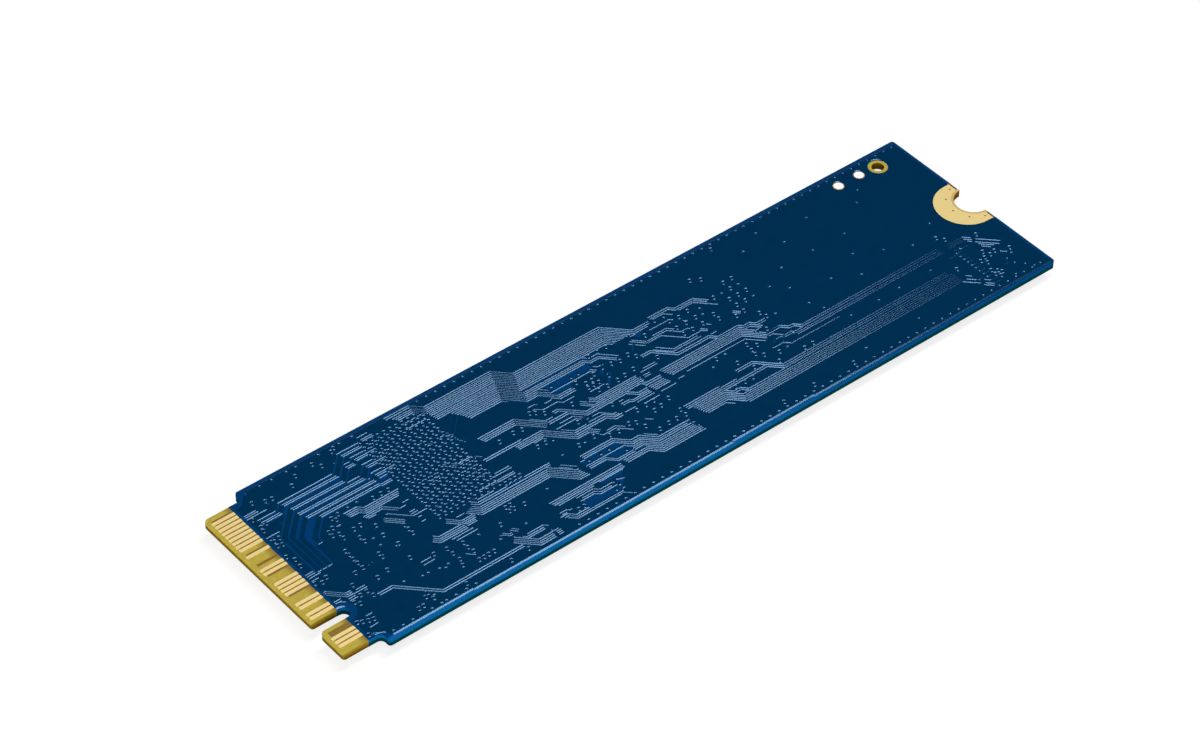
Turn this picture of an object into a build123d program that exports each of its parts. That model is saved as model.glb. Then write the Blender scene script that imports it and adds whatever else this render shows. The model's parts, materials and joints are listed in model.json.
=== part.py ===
"""M.2 2280 solid-state drive: a keyed circuit board, bare side up, resting on its flash packages."""
import os
from math import cos, hypot, radians, sin

from build123d import *

# Board in millimetres: x runs from the tongue's end, y from the centre line
BOARD_LENGTH = 80.0
BOARD_WIDTH = 22.0
LAMINATE = 0.74
MASK = 0.03
RELIEF = 0.03
CORNER_R = 0.3

# Connector tongue and its key slot
TONGUE_WIDTH = 19.85
SHOULDER_X = 4.0
SHOULDER_FILLET = 0.5
TIP_R = 0.5
TIP_SMALL_R = 0.2
TIP_BEVEL = 0.3
TIP_BEVEL_DEPTH = 0.15
KEY_Y = -6.125
KEY_WIDTH = 1.2
KEY_DEPTH = 3.5
MASK_START_X = 2.65

# Gold contacts, counted from the far side; the bare side leaves some out
CONTACT_PITCH = 0.5
CONTACT_WIDTH = 0.35
CONTACT_START_X = 0.3
CONTACT_HEIGHT = 0.04
CONTACT_END_CUT = 0.1
BARE_FIRST_Y = 9.0
BARE_PLACES = 37
BARE_LEFT_OUT = (9, 11, 12, 13, 16, 17, 22, 23, 26, 33)
CHIP_FIRST_Y = 9.25
CHIP_PLACES = 38
KEY_LEFT_OUT = (29, 30, 31, 32)

# Screw notch with its half-ring pad, tooling hole and round pads
NOTCH_R = 1.75
PAD_R = 3.05
PAD_X = 79.1
PAD_INNER_R = 2.0
PAD_END_X = 79.78
PAD_HEIGHT = 0.04
PAD_VIA_R = 0.1
PAD_VIA_RING = 2.47
PAD_VIA_ANGLES = (105, 140, 180, 220, 255)
TOOLING_AT = (76.35, 9.03)
TOOLING_R = 0.6
TOOLING_OPENING_R = 0.95
TOOLING_CLEAR_R = 1.1
ROUND_PADS = ((71.6, 9.24), (74.15, 9.24))
ROUND_PAD_R = 0.5
ROUND_PAD_OPENING_R = 0.55
ROUND_PAD_CLEAR_R = 0.66

# Packages of the chip side; a height includes the solder under the package
FLASH_SIZE = (11.5, 13.5)
FLASH_HEIGHT = 1.3
FLASH_1_AT = (36.6, 0.0)
FLASH_2_AT = (49.9, 0.0)
FLASH_BALLS = (11, 13)
FLASH_BALL_PITCH = 1.0
CONTROLLER_SIZE = (8.0, 13.0)
CONTROLLER_HEIGHT = 1.1
CONTROLLER_AT = (19.5, 3.4)
CONTROLLER_BALLS = (11, 18)
CONTROLLER_BALL_PITCH = 0.65
BALL_HEIGHT = 0.2
CONTROLLER_BALL_R = 0.2
FLASH_BALL_R = 0.25
POWER_SIZE = 4.0
POWER_HEIGHT = 0.85
POWER_AT = (10.0, -5.3)
SWITCH_SIZE = 2.0
SWITCH_HEIGHT = 0.75
SWITCH_AT = (5.9, -8.3)
LAND_HEIGHT = 0.05
LAND_WIDTH = 0.25
LAND_LENGTH = 0.45
LAND_SHOWS = 0.1
INDUCTOR_SIZE = (2.5, 2.0)
INDUCTOR_HEIGHT = 1.0
INDUCTORS_AT = ((14.8, -5.2), (14.8, -7.7), (10.2, -8.9))
CRYSTAL_SIZE = (3.2, 2.5)
CRYSTAL_BASE = 0.45
CRYSTAL_LID = 0.25
CRYSTAL_RIM = 0.2
CRYSTAL_AT = (11.6, 6.6)

# Chip capacitors and resistors: length, width, height and length of one end terminal
COUPLING_CHIP = (0.6, 0.3, 0.3, 0.15)
SMALL_CHIP = (1.0, 0.5, 0.5, 0.25)
BULK_CHIP = (2.0, 1.25, 0.9, 0.4)
RESISTOR_CHIP = (1.0, 0.5, 0.35, 0.2)
CHIP_STEP_IN = 0.02

# Heights above the surface that the flash packages rest on
CHIP_FACE = FLASH_HEIGHT
LAMINATE_BOTTOM = CHIP_FACE + MASK
LAMINATE_TOP = LAMINATE_BOTTOM + LAMINATE
BARE_FACE = LAMINATE_TOP + MASK

# Traces under the mask: a bundle is the path of its far trace, the number of traces beside each other, how
# much further along each next trace starts and ends, and the gap between its far trace and the ground plane;
# with no gap the plane's own edge takes the place of the far trace
TRACE_WIDTH = 0.105
TRACE_PITCH = 0.21
PLANE_GAP = 0.145
LANE_GAP = 0.295

CONNECTOR_LANES = (
    (((3.75, 6.72), (5.66, 6.72), (6.3, 7.36), (12.05, 7.36), (13.77, 9.08), (15.85, 9.08)),
     2, 0, 0, LANE_GAP),
    (((4.1, -1.0), (4.1, 4.01), (6.6, 6.51), (12.1, 6.51), (13.26, 7.67), (14.1, 7.67), (14.41, 7.98),
      (16.75, 7.98)), 2, 0, 0, LANE_GAP),
    (((4.65, -1.0), (4.65, 3.63), (6.7, 5.68), (13.7, 5.68), (14.68, 6.66), (16.8, 6.66)), 2, 0, 0, LANE_GAP),
    (((5.2, -1.0), (5.2, 3.11), (7.02, 4.93), (14.25, 4.93), (14.68, 5.36), (16.8, 5.36)), 2, 0, 0, LANE_GAP),
    (((6.1, 1.6), (6.1, 2.41), (8.0, 4.31), (14.4, 4.31), (14.55, 4.16), (15.5, 4.16)), 2, 0, 0, 0.55),
    (((9.95, 2.99), (11.1, 2.99), (11.55, 2.54), (15.05, 2.54)), 3, 0.06, -0.13, PLANE_GAP),
    (((6.5, -6.34), (7.86, -6.34), (10.88, -9.36), (19.35, -9.36)), 1, 0, 0, PLANE_GAP),
    (((14.05, -3.87), (14.4, -4.22), (17.0, -4.22)), 3, 0, 0, PLANE_GAP),
)

FLASH_BUSES = (
    (((19.6, 10.26), (22.1, 10.26), (23.08, 9.28), (30.4, 9.28), (31.87, 7.81), (41.55, 7.81), (43.73, 5.63),
      (45.5, 5.63)), 1, 0, 0, PLANE_GAP),
    (((20.1, 9.96), (22.2, 9.96), (23.08, 9.08), (30.32, 9.08), (31.82, 7.58), (41.5, 7.58), (43.67, 5.41),
      (45.15, 5.41)), 1, 0, 0, PLANE_GAP),
    (((20.3, 9.76), (22.1, 9.76), (22.99, 8.87), (30.23, 8.87), (31.72, 7.38), (41.4, 7.38), (43.3, 5.48)),
     2, 0.1, -0.21, PLANE_GAP),
    (((22.95, 8.45), (30.06, 8.45), (31.55, 6.96), (41.25, 6.96), (42.65, 5.56)), 2, 0.05, -0.21, PLANE_GAP),
    (((23.05, 7.98), (29.87, 7.98), (31.29, 6.56), (41.05, 6.56), (42.1, 5.51)), 3, 0.05, -0.21, PLANE_GAP),
    (((22.75, 5.58), (24.5, 7.33), (29.6, 7.33), (31.02, 5.91), (40.85, 5.91), (41.25, 5.51)),
     1, 0, 0, PLANE_GAP),
    (((22.85, 5.28), (24.7, 7.13), (29.52, 7.13), (31.14, 5.51), (37.8, 5.51), (38.25, 5.06), (39.2, 5.06),
      (40.4, 3.86)), 2, 0, 0, 0.25),
    (((22.95, 4.66), (25.0, 6.71), (29.34, 6.71), (30.97, 5.08), (37.6, 5.08)), 1, 0, 0, PLANE_GAP),
    (((23.0, 4.41), (25.1, 6.51), (29.25, 6.51), (30.9, 4.86), (32.1, 4.86), (32.95, 4.01), (37.4, 4.01),
      (37.75, 3.66)), 1, 0, 0, PLANE_GAP),
    (((23.05, 4.15), (25.2, 6.3), (29.16, 6.3), (30.81, 4.65), (31.99, 4.65), (33.28, 3.36), (34.75, 3.36)),
     2, 0, -0.1, 0.46),
    (((23.3, 3.76), (25.4, 5.86), (28.95, 5.86), (29.35, 5.46)), 1, 0, 0, PLANE_GAP),
    (((32.6, 3.47), (33.17, 2.9), (34.85, 2.9)), 1, 0, 0, PLANE_GAP),
    (((22.95, 1.71), (24.4, 3.16), (28.2, 3.16), (30.26, 1.1)), 3, 0, 0, PLANE_GAP),
    (((23.2, 0.75), (27.15, 0.75)), 1, 0, 0, PLANE_GAP),
    (((26.3, 0.53), (29.26, 0.53), (31.31, -1.52), (34.75, -1.52), (35.36, -2.13), (36.1, -2.13)),
     1, 0, 0, PLANE_GAP),
    (((27.55, 0.76), (29.36, 0.76), (31.41, -1.29), (34.83, -1.29), (35.48, -1.94), (36.05, -1.94)),
     1, 0, 0, 0),
    (((26.35, 0.33), (29.17, 0.33), (31.27, -1.77), (32.5, -1.77), (33.2, -2.47)), 2, 0.05, 0, PLANE_GAP),
    (((18.9, -2.89), (19.35, -3.34), (26.7, -3.34), (28.55, -5.19), (28.8, -5.19)), 5, -0.1, 0.09, PLANE_GAP),
    (((19.05, -2.62), (19.47, -3.04), (27.2, -3.04)), 1, 0, 0, PLANE_GAP),
    (((16.3, -2.8), (17.14, -3.64), (18.4, -3.64)), 3, 0, -0.06, 0),
    (((24.35, -6.94), (32.05, -6.94)), 2, 0.07, 0.05, PLANE_GAP),
    (((24.2, -8.85), (24.6, -8.85), (25.14, -9.39), (30.2, -9.39)), 2, 0.2, -0.3, PLANE_GAP),
    (((19.3, -8.22), (20.8, -9.72), (22.25, -9.72)), 3, 0, -0.05, PLANE_GAP),
    (((35.25, 1.36), (35.55, 1.06), (40.05, 1.06)), 3, 0, 0.07, 0),
    (((34.2, 1.3), (35.07, 0.43), (40.35, 0.43)), 2, 0, 0.05, PLANE_GAP),
    (((31.6, 1.77), (32.05, 1.77), (33.81, 0.01), (39.9, 0.01), (40.36, -0.45), (41.85, -0.45)),
     1, 0, 0, PLANE_GAP),
    (((30.4, 0.96), (32.55, 0.96), (33.7, -0.19), (38.1, -0.19), (38.9, -0.99), (39.9, -0.99)),
     1, 0, 0, PLANE_GAP),
    (((30.0, -4.07), (33.4, -4.07), (34.57, -5.24), (35.5, -5.24), (36.65, -6.39), (39.8, -6.39)),
     2, 0, 0.3, PLANE_GAP),
    (((29.6, -5.12), (33.75, -5.12), (34.31, -5.68), (35.3, -5.68), (36.49, -6.87), (40.15, -6.87)),
     1, 0, 0, 0.61),
    (((34.15, -5.9), (35.22, -5.9), (36.4, -7.08), (40.2, -7.08)), 2, 0.05, 0.1, LANE_GAP),
    (((32.55, -6.54), (35.25, -6.54), (36.2, -7.49), (40.5, -7.49)), 3, 0.08, 0.07, PLANE_GAP),
    (((29.7, -5.33), (31.55, -5.33), (32.3, -6.08), (34.0, -6.08)), 2, 0, 0, 0.75),
    (((40.2, -0.74), (41.9, -0.74)), 4, 0.08, 0.08, PLANE_GAP),
)

PROBE_BUSES = (
    (((42.25, 2.56), (43.2, 2.56), (44.95, 0.81), (48.55, 0.81), (49.13, 0.23), (51.5, 0.23), (51.83, -0.1),
      (52.55, -0.1), (53.0, -0.55), (54.0, -0.55)), 1, 0, 0, PLANE_GAP),
    (((42.4, 0.03), (51.35, 0.03), (51.67, -0.29), (52.35, -0.29), (53.1, -1.04)), 1, 0, 0, PLANE_GAP),
    (((42.5, -0.19), (51.25, -0.19), (52.15, -1.09)), 1, 0, 0, PLANE_GAP),
    (((42.6, -0.4), (51.15, -0.4), (52.83, -2.08), (54.42, -2.08), (55.02, -2.68), (55.47, -2.68),
      (56.02, -3.23), (72.5, -3.23)), 1, 0, 0, PLANE_GAP),
    (((42.7, -0.61), (51.06, -0.61), (52.7, -2.25)), 2, 0.1, 0, PLANE_GAP),
    (((55.05, -3.53), (72.6, -3.53)), 2, 0, 0.1, PLANE_GAP),
    (((41.05, -4.84), (44.95, -4.84)), 1, 0, 0, PLANE_GAP),
    (((41.1, -5.05), (46.75, -5.05)), 1, 0, 0, PLANE_GAP),
    (((41.6, -5.27), (50.1, -5.27), (51.18, -6.35), (71.0, -6.35)), 1, 0, 0, PLANE_GAP),
    (((47.6, -4.17), (49.35, -4.17), (51.31, -6.13), (70.9, -6.13)), 1, 0, 0, PLANE_GAP),
    (((41.7, -5.48), (44.97, -5.48), (45.57, -6.08), (46.33, -6.08), (46.9, -6.65), (71.2, -6.65)),
     1, 0, 0, PLANE_GAP),
    (((41.75, -5.7), (44.85, -5.7), (46.02, -6.87), (71.4, -6.87)), 4, 0.08, 0.03, PLANE_GAP),
    (((45.95, -7.72), (71.5, -7.72)), 1, 0, 0, PLANE_GAP),
    (((46.0, 6.02), (48.05, 6.02), (48.55, 5.52), (50.65, 5.52), (51.55, 4.62)), 1, 0, 0, PLANE_GAP),
    (((73.15, -4.9), (73.15, -8.5)), 3, 0, 0, PLANE_GAP),
    (((76.4, -6.8), (76.4, -8.5)), 2, 0, 0, PLANE_GAP),
)


def level(z):
    """Work plane at height z, with its origin at the middle of the tongue's end."""
    return Plane((-BOARD_LENGTH / 2, 0, z))


def corner(sketch, x, y):
    """Vertex of the sketch nearest to x, y."""
    return sketch.vertices().sort_by_distance((x, y, 0))[0]


def board_outline():
    """Outline of the board with its tongue, key slot and screw notch."""
    half = BOARD_WIDTH / 2
    tongue = TONGUE_WIDTH / 2
    key_far = KEY_Y + KEY_WIDTH / 2
    key_near = KEY_Y - KEY_WIDTH / 2
    slot = KEY_DEPTH - KEY_WIDTH / 2
    with BuildSketch() as outline:
        with Locations(((BOARD_LENGTH + SHOULDER_X) / 2, 0)):
            Rectangle(BOARD_LENGTH - SHOULDER_X, BOARD_WIDTH)
        with Locations((SHOULDER_X / 2, 0)):
            Rectangle(SHOULDER_X, TONGUE_WIDTH)
        with Locations((slot, KEY_Y)):
            Circle(KEY_WIDTH / 2, mode=Mode.SUBTRACT)
        with Locations((slot / 2, KEY_Y)):
            Rectangle(slot, KEY_WIDTH, mode=Mode.SUBTRACT)
        for side in (-1, 1):
            fillet(corner(outline, BOARD_LENGTH, side * half), CORNER_R)
            fillet(corner(outline, SHOULDER_X, side * half), CORNER_R)
            fillet(corner(outline, SHOULDER_X, side * tongue), SHOULDER_FILLET)
        fillet(corner(outline, 0, tongue), TIP_R)
        fillet(corner(outline, 0, key_near), TIP_R)
        fillet(corner(outline, 0, key_far), TIP_SMALL_R)
        fillet(corner(outline, 0, -tongue), TIP_SMALL_R)
        with Locations((BOARD_LENGTH, 0)):
            Circle(NOTCH_R, mode=Mode.SUBTRACT)
        with Locations(TOOLING_AT):
            Circle(TOOLING_R, mode=Mode.SUBTRACT)
    return outline.sketch


def cut_screw_opening():
    """Take the screw pad's opening out of the sketch being drawn."""
    with Locations((PAD_X, 0)):
        Circle(PAD_R, mode=Mode.SUBTRACT)
    with Locations(((PAD_X + BOARD_LENGTH) / 2, 0)):
        Rectangle(BOARD_LENGTH - PAD_X, 2 * PAD_R, mode=Mode.SUBTRACT)


def mask_outline():
    """Outline of the mask: the board behind the contacts, less the bare openings."""
    with BuildSketch() as outline:
        add(board_outline())
        with Locations((MASK_START_X / 2, 0)):
            Rectangle(MASK_START_X, BOARD_WIDTH, mode=Mode.SUBTRACT)
        cut_screw_opening()
        with Locations(TOOLING_AT):
            Circle(TOOLING_OPENING_R, mode=Mode.SUBTRACT)
    return outline.sketch


def screw_pad_outline():
    """Half ring of bare metal round the screw notch, with its via holes."""
    with BuildSketch() as outline:
        with Locations((PAD_X, 0)):
            Circle(PAD_R)
        with Locations(((PAD_X + PAD_END_X) / 2, 0)):
            Rectangle(PAD_END_X - PAD_X, 2 * PAD_R)
        with Locations((PAD_END_X + PAD_R, 0)):
            Rectangle(2 * PAD_R, 4 * PAD_R, mode=Mode.SUBTRACT)
        with Locations((BOARD_LENGTH, 0)):
            Circle(PAD_INNER_R, mode=Mode.SUBTRACT)
        for angle in PAD_VIA_ANGLES:
            x = BOARD_LENGTH + PAD_VIA_RING * cos(radians(angle))
            y = PAD_VIA_RING * sin(radians(angle))
            with Locations((x, y)):
                RegularPolygon(PAD_VIA_R, 8, mode=Mode.SUBTRACT)
    return outline.sketch


def contact_row(first_y, places, left_out):
    """Contact strips with cut front corners, in one row along the tongue's end."""
    length = MASK_START_X - CONTACT_START_X
    with BuildSketch() as row:
        for place in range(places):
            if place not in left_out + KEY_LEFT_OUT:
                with Locations((CONTACT_START_X + length / 2, first_y - CONTACT_PITCH * place)):
                    Rectangle(length, CONTACT_WIDTH)
        chamfer(row.vertices().filter_by(lambda v: v.X < MASK_START_X - 0.01), CONTACT_END_CUT)
    return row.sketch


def side_step(path, away, start, end):
    """Path moved sideways to its right, with its two ends moved along by start and end."""
    units = []
    for a, b in zip(path, path[1:]):
        size = hypot(b[0] - a[0], b[1] - a[1])
        units.append(((b[0] - a[0]) / size, (b[1] - a[1]) / size))
    moved = []
    for n, point in enumerate(path):
        before = units[max(n - 1, 0)]
        after = units[min(n, len(units) - 1)]
        reach = away / (1 + before[0] * after[0] + before[1] * after[1])
        moved.append([point[0] + reach * (before[1] + after[1]), point[1] - reach * (before[0] + after[0])])
    moved[0] = [moved[0][0] + start * units[0][0], moved[0][1] + start * units[0][1]]
    moved[-1] = [moved[-1][0] + end * units[-1][0], moved[-1][1] + end * units[-1][1]]
    return moved


def strip(left, right):
    """Face between two paths that run beside each other."""
    return Polygon(*[tuple(p) for p in left + right[::-1]], align=None, mode=Mode.PRIVATE)


def trace_faces(bundles):
    """Faces of all traces of the bundles."""
    faces = []
    for path, count, start, end, gap in bundles:
        for n in range(0 if gap else 1, count):
            near = n * TRACE_PITCH
            left = side_step(path, near - TRACE_WIDTH / 2, n * start, n * end)
            right = side_step(path, near + TRACE_WIDTH / 2, n * start, n * end)
            faces.append(strip(left, right))
    return faces


def window_faces(bundles):
    """Faces of the windows in the ground plane that the bundles run in."""
    faces = []
    half = TRACE_WIDTH / 2
    for path, count, start, end, gap in bundles:
        far = -half - gap if gap else half
        near = (count - 1) * TRACE_PITCH + half + min(max(gap, PLANE_GAP), LANE_GAP)
        sides = []
        for away in (far, near):
            n = away / TRACE_PITCH
            sides.append(side_step(path, away, n * start - PLANE_GAP, n * end + PLANE_GAP))
        faces.append(strip(*sides))
    return faces


def rim_places(at, counts, pitch):
    """Places of the outer row of a ball grid, centred on a package."""
    across, along = counts
    places = []
    for i in range(across):
        for j in range(along):
            if i in (0, across - 1) or j in (0, along - 1):
                x = at[0] + (i - (across - 1) / 2) * pitch
                y = at[1] + (j - (along - 1) / 2) * pitch
                places.append((x, y))
    return places


def chip_places(xs, ys, turned):
    """Places of a block of chip parts: centre and whether the chip lies along y."""
    return [(x, y, turned) for x in xs for y in ys]


def chip_bodies(places, chip):
    """Sketch of the middle parts of chip capacitors or resistors."""
    length, width, _, end = chip
    with BuildSketch() as bodies:
        for x, y, turned in places:
            with Locations(Location((x, y, 0), 90 if turned else 0)):
                Rectangle(length - 2 * end, width - CHIP_STEP_IN)
    return bodies.sketch


def chip_ends(places, chip):
    """Sketch of the end terminals of chip capacitors or resistors."""
    length, width, _, end = chip
    with BuildSketch() as ends:
        for x, y, turned in places:
            with Locations(Location((x, y, 0), 90 if turned else 0)):
                with Locations((-(length - end) / 2, 0), ((length - end) / 2, 0)):
                    Rectangle(end, width)
    return ends.sketch


# Laminate of the board, with the tongue bevelled on both faces
with BuildPart() as laminate:
    with BuildSketch(level(LAMINATE_BOTTOM)):
        add(board_outline())
    extrude(amount=LAMINATE)
    with BuildSketch(Plane((-BOARD_LENGTH / 2, 0, 0), x_dir=(1, 0, 0), z_dir=(0, -1, 0))):
        with BuildLine():
            tip = LAMINATE_TOP - TIP_BEVEL_DEPTH
            Polyline((0, LAMINATE_TOP), (TIP_BEVEL, LAMINATE_TOP), (0, tip), close=True)
        make_face()
        with BuildLine():
            tip = LAMINATE_BOTTOM + TIP_BEVEL_DEPTH
            Polyline((0, LAMINATE_BOTTOM), (TIP_BEVEL, LAMINATE_BOTTOM), (0, tip), close=True)
        make_face()
    extrude(amount=BOARD_WIDTH, both=True, mode=Mode.SUBTRACT)
laminate.part.label = "laminate"

# Solder mask of the bare side, open at the screw pad, tooling hole and round pads
with BuildPart() as bare_mask:
    with BuildSketch(level(LAMINATE_TOP)):
        add(mask_outline())
        with Locations(*ROUND_PADS):
            Circle(ROUND_PAD_OPENING_R, mode=Mode.SUBTRACT)
    extrude(amount=MASK)
bare_mask.part.label = "bare_side_mask"

# Solder mask of the chip side
with BuildPart() as chip_mask:
    with BuildSketch(level(CHIP_FACE)):
        add(mask_outline())
    extrude(amount=MASK)
chip_mask.part.label = "chip_side_mask"

# Ground plane under the mask: a raised sheet with a bare border and windows round the traces
GROUND_EDGE = (
    (3.0, -9.4), (3.6, -9.6), (4.35, -10.0), (4.65, -10.6), (12.95, -10.6), (13.05, -10.69), (41.35, -10.69),
    (41.45, -10.6), (50.75, -10.6), (50.85, -10.7), (79.62, -10.7), (79.62, 10.55), (5.0, 10.55), (4.4, 10.1),
    (3.7, 9.35), (3.0, 9.35),
)
KEY_CLEAR_R = 1.25
ALL_BUNDLES = CONNECTOR_LANES + FLASH_BUSES + PROBE_BUSES
with BuildPart() as ground_plane:
    with BuildSketch(level(BARE_FACE)):
        Polygon(*GROUND_EDGE, align=None)
        with Locations((KEY_DEPTH - KEY_WIDTH / 2, KEY_Y)):
            Circle(KEY_CLEAR_R, mode=Mode.SUBTRACT)
        cut_screw_opening()
        with Locations(TOOLING_AT):
            Circle(TOOLING_CLEAR_R, mode=Mode.SUBTRACT)
        with Locations(*ROUND_PADS):
            Circle(ROUND_PAD_CLEAR_R, mode=Mode.SUBTRACT)
        add(window_faces(ALL_BUNDLES), mode=Mode.SUBTRACT)
    extrude(amount=RELIEF)
ground_plane.part.label = "masked_ground_plane"

# Traces under the mask, in three groups
with BuildPart() as lanes:
    with BuildSketch(level(BARE_FACE)):
        add(trace_faces(CONNECTOR_LANES))
    extrude(amount=RELIEF)
lanes.part.label = "connector_lanes"

with BuildPart() as flash_buses:
    with BuildSketch(level(BARE_FACE)):
        add(trace_faces(FLASH_BUSES))
    extrude(amount=RELIEF)
flash_buses.part.label = "flash_buses"

with BuildPart() as probe_buses:
    with BuildSketch(level(BARE_FACE)):
        add(trace_faces(PROBE_BUSES))
    extrude(amount=RELIEF)
probe_buses.part.label = "probe_buses"

# Gold contacts on both faces of the tongue
with BuildPart() as bare_contacts:
    with BuildSketch(level(LAMINATE_TOP)):
        add(contact_row(BARE_FIRST_Y, BARE_PLACES, BARE_LEFT_OUT))
    extrude(amount=CONTACT_HEIGHT)
bare_contacts.part.label = "bare_side_contacts"

with BuildPart() as chip_contacts:
    with BuildSketch(level(LAMINATE_BOTTOM - CONTACT_HEIGHT)):
        add(contact_row(CHIP_FIRST_Y, CHIP_PLACES, ()))
    extrude(amount=CONTACT_HEIGHT)
chip_contacts.part.label = "chip_side_contacts"

# Half-ring pads round the screw notch
with BuildPart() as bare_screw_pad:
    with BuildSketch(level(LAMINATE_TOP)):
        add(screw_pad_outline())
    extrude(amount=PAD_HEIGHT)
bare_screw_pad.part.label = "bare_side_screw_pad"

with BuildPart() as chip_screw_pad:
    with BuildSketch(level(LAMINATE_BOTTOM - PAD_HEIGHT)):
        add(screw_pad_outline())
    extrude(amount=PAD_HEIGHT)
chip_screw_pad.part.label = "chip_side_screw_pad"

# Two tinned round pads
with BuildPart() as round_pads:
    with BuildSketch(level(LAMINATE_TOP)):
        with Locations(*ROUND_PADS):
            Circle(ROUND_PAD_R)
    extrude(amount=PAD_HEIGHT)
round_pads.part.label = "round_pads"

# Controller package on its solder balls
with BuildPart() as controller:
    with BuildSketch(level(CHIP_FACE - CONTROLLER_HEIGHT)):
        with Locations(CONTROLLER_AT):
            Rectangle(*CONTROLLER_SIZE)
    extrude(amount=CONTROLLER_HEIGHT - BALL_HEIGHT)
controller.part.label = "controller"

with BuildPart() as controller_balls:
    with BuildSketch(level(CHIP_FACE - BALL_HEIGHT)):
        with Locations(*rim_places(CONTROLLER_AT, CONTROLLER_BALLS, CONTROLLER_BALL_PITCH)):
            RegularPolygon(CONTROLLER_BALL_R, 4)
    extrude(amount=BALL_HEIGHT)
controller_balls.part.label = "controller_balls"

# Two flash packages on their solder balls; the drive lies on their faces
with BuildPart() as flash_1:
    with BuildSketch(level(CHIP_FACE - FLASH_HEIGHT)):
        with Locations(FLASH_1_AT):
            Rectangle(*FLASH_SIZE)
    extrude(amount=FLASH_HEIGHT - BALL_HEIGHT)
flash_1.part.label = "flash_package_1"

with BuildPart() as flash_1_balls:
    with BuildSketch(level(CHIP_FACE - BALL_HEIGHT)):
        with Locations(*rim_places(FLASH_1_AT, FLASH_BALLS, FLASH_BALL_PITCH)):
            RegularPolygon(FLASH_BALL_R, 4)
    extrude(amount=BALL_HEIGHT)
flash_1_balls.part.label = "flash_package_1_balls"

with BuildPart() as flash_2:
    with BuildSketch(level(CHIP_FACE - FLASH_HEIGHT)):
        with Locations(FLASH_2_AT):
            Rectangle(*FLASH_SIZE)
    extrude(amount=FLASH_HEIGHT - BALL_HEIGHT)
flash_2.part.label = "flash_package_2"

with BuildPart() as flash_2_balls:
    with BuildSketch(level(CHIP_FACE - BALL_HEIGHT)):
        with Locations(*rim_places(FLASH_2_AT, FLASH_BALLS, FLASH_BALL_PITCH)):
            RegularPolygon(FLASH_BALL_R, 4)
    extrude(amount=BALL_HEIGHT)
flash_2_balls.part.label = "flash_package_2_balls"

# Power manager with lands on four sides
with BuildPart() as power_manager:
    with BuildSketch(level(CHIP_FACE - POWER_HEIGHT)):
        with Locations(POWER_AT):
            Rectangle(POWER_SIZE, POWER_SIZE)
    extrude(amount=POWER_HEIGHT - LAND_HEIGHT)
power_manager.part.label = "power_manager"

with BuildPart() as power_lands:
    with BuildSketch(level(CHIP_FACE - LAND_HEIGHT)):
        with Locations(POWER_AT):
            with PolarLocations(POWER_SIZE / 2 + LAND_SHOWS - LAND_LENGTH / 2, 4):
                with GridLocations(0, CONTACT_PITCH, 1, 6):
                    Rectangle(LAND_LENGTH, LAND_WIDTH)
            Rectangle(POWER_SIZE * 0.6, POWER_SIZE * 0.6)
    extrude(amount=LAND_HEIGHT)
power_lands.part.label = "power_manager_lands"

# Load switch with lands on two sides
with BuildPart() as load_switch:
    with BuildSketch(level(CHIP_FACE - SWITCH_HEIGHT)):
        with Locations(SWITCH_AT):
            Rectangle(SWITCH_SIZE, SWITCH_SIZE)
    extrude(amount=SWITCH_HEIGHT - LAND_HEIGHT)
load_switch.part.label = "load_switch"

with BuildPart() as switch_lands:
    with BuildSketch(level(CHIP_FACE - LAND_HEIGHT)):
        with Locations(SWITCH_AT):
            with PolarLocations(SWITCH_SIZE / 2 + LAND_SHOWS - LAND_LENGTH / 2, 2):
                with GridLocations(0, CONTACT_PITCH, 1, 4):
                    Rectangle(LAND_LENGTH, LAND_WIDTH)
    extrude(amount=LAND_HEIGHT)
switch_lands.part.label = "load_switch_lands"

# Power inductors on their two lands each
with BuildPart() as inductors:
    with BuildSketch(level(CHIP_FACE - INDUCTOR_HEIGHT)):
        with Locations(*INDUCTORS_AT):
            Rectangle(*INDUCTOR_SIZE)
    extrude(amount=INDUCTOR_HEIGHT - LAND_HEIGHT)
    chamfer(inductors.edges().filter_by(Axis.Z), 0.15)
inductors.part.label = "inductors"

with BuildPart() as inductor_lands:
    with BuildSketch(level(CHIP_FACE - LAND_HEIGHT)):
        with Locations(*INDUCTORS_AT):
            with GridLocations(INDUCTOR_SIZE[0] - 0.5, 0, 2, 1):
                Rectangle(0.7, INDUCTOR_SIZE[1] - 0.4)
    extrude(amount=LAND_HEIGHT)
inductor_lands.part.label = "inductor_lands"

# Crystal: ceramic base with a metal lid
with BuildPart() as crystal_base:
    with BuildSketch(level(CHIP_FACE - CRYSTAL_BASE)):
        with Locations(CRYSTAL_AT):
            Rectangle(*CRYSTAL_SIZE)
    extrude(amount=CRYSTAL_BASE)
crystal_base.part.label = "crystal_base"

with BuildPart() as crystal_lid:
    with BuildSketch(level(CHIP_FACE - CRYSTAL_BASE - CRYSTAL_LID)):
        with Locations(CRYSTAL_AT):
            Rectangle(CRYSTAL_SIZE[0] - 2 * CRYSTAL_RIM, CRYSTAL_SIZE[1] - 2 * CRYSTAL_RIM)
    extrude(amount=CRYSTAL_LID)
crystal_lid.part.label = "crystal_lid"

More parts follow.
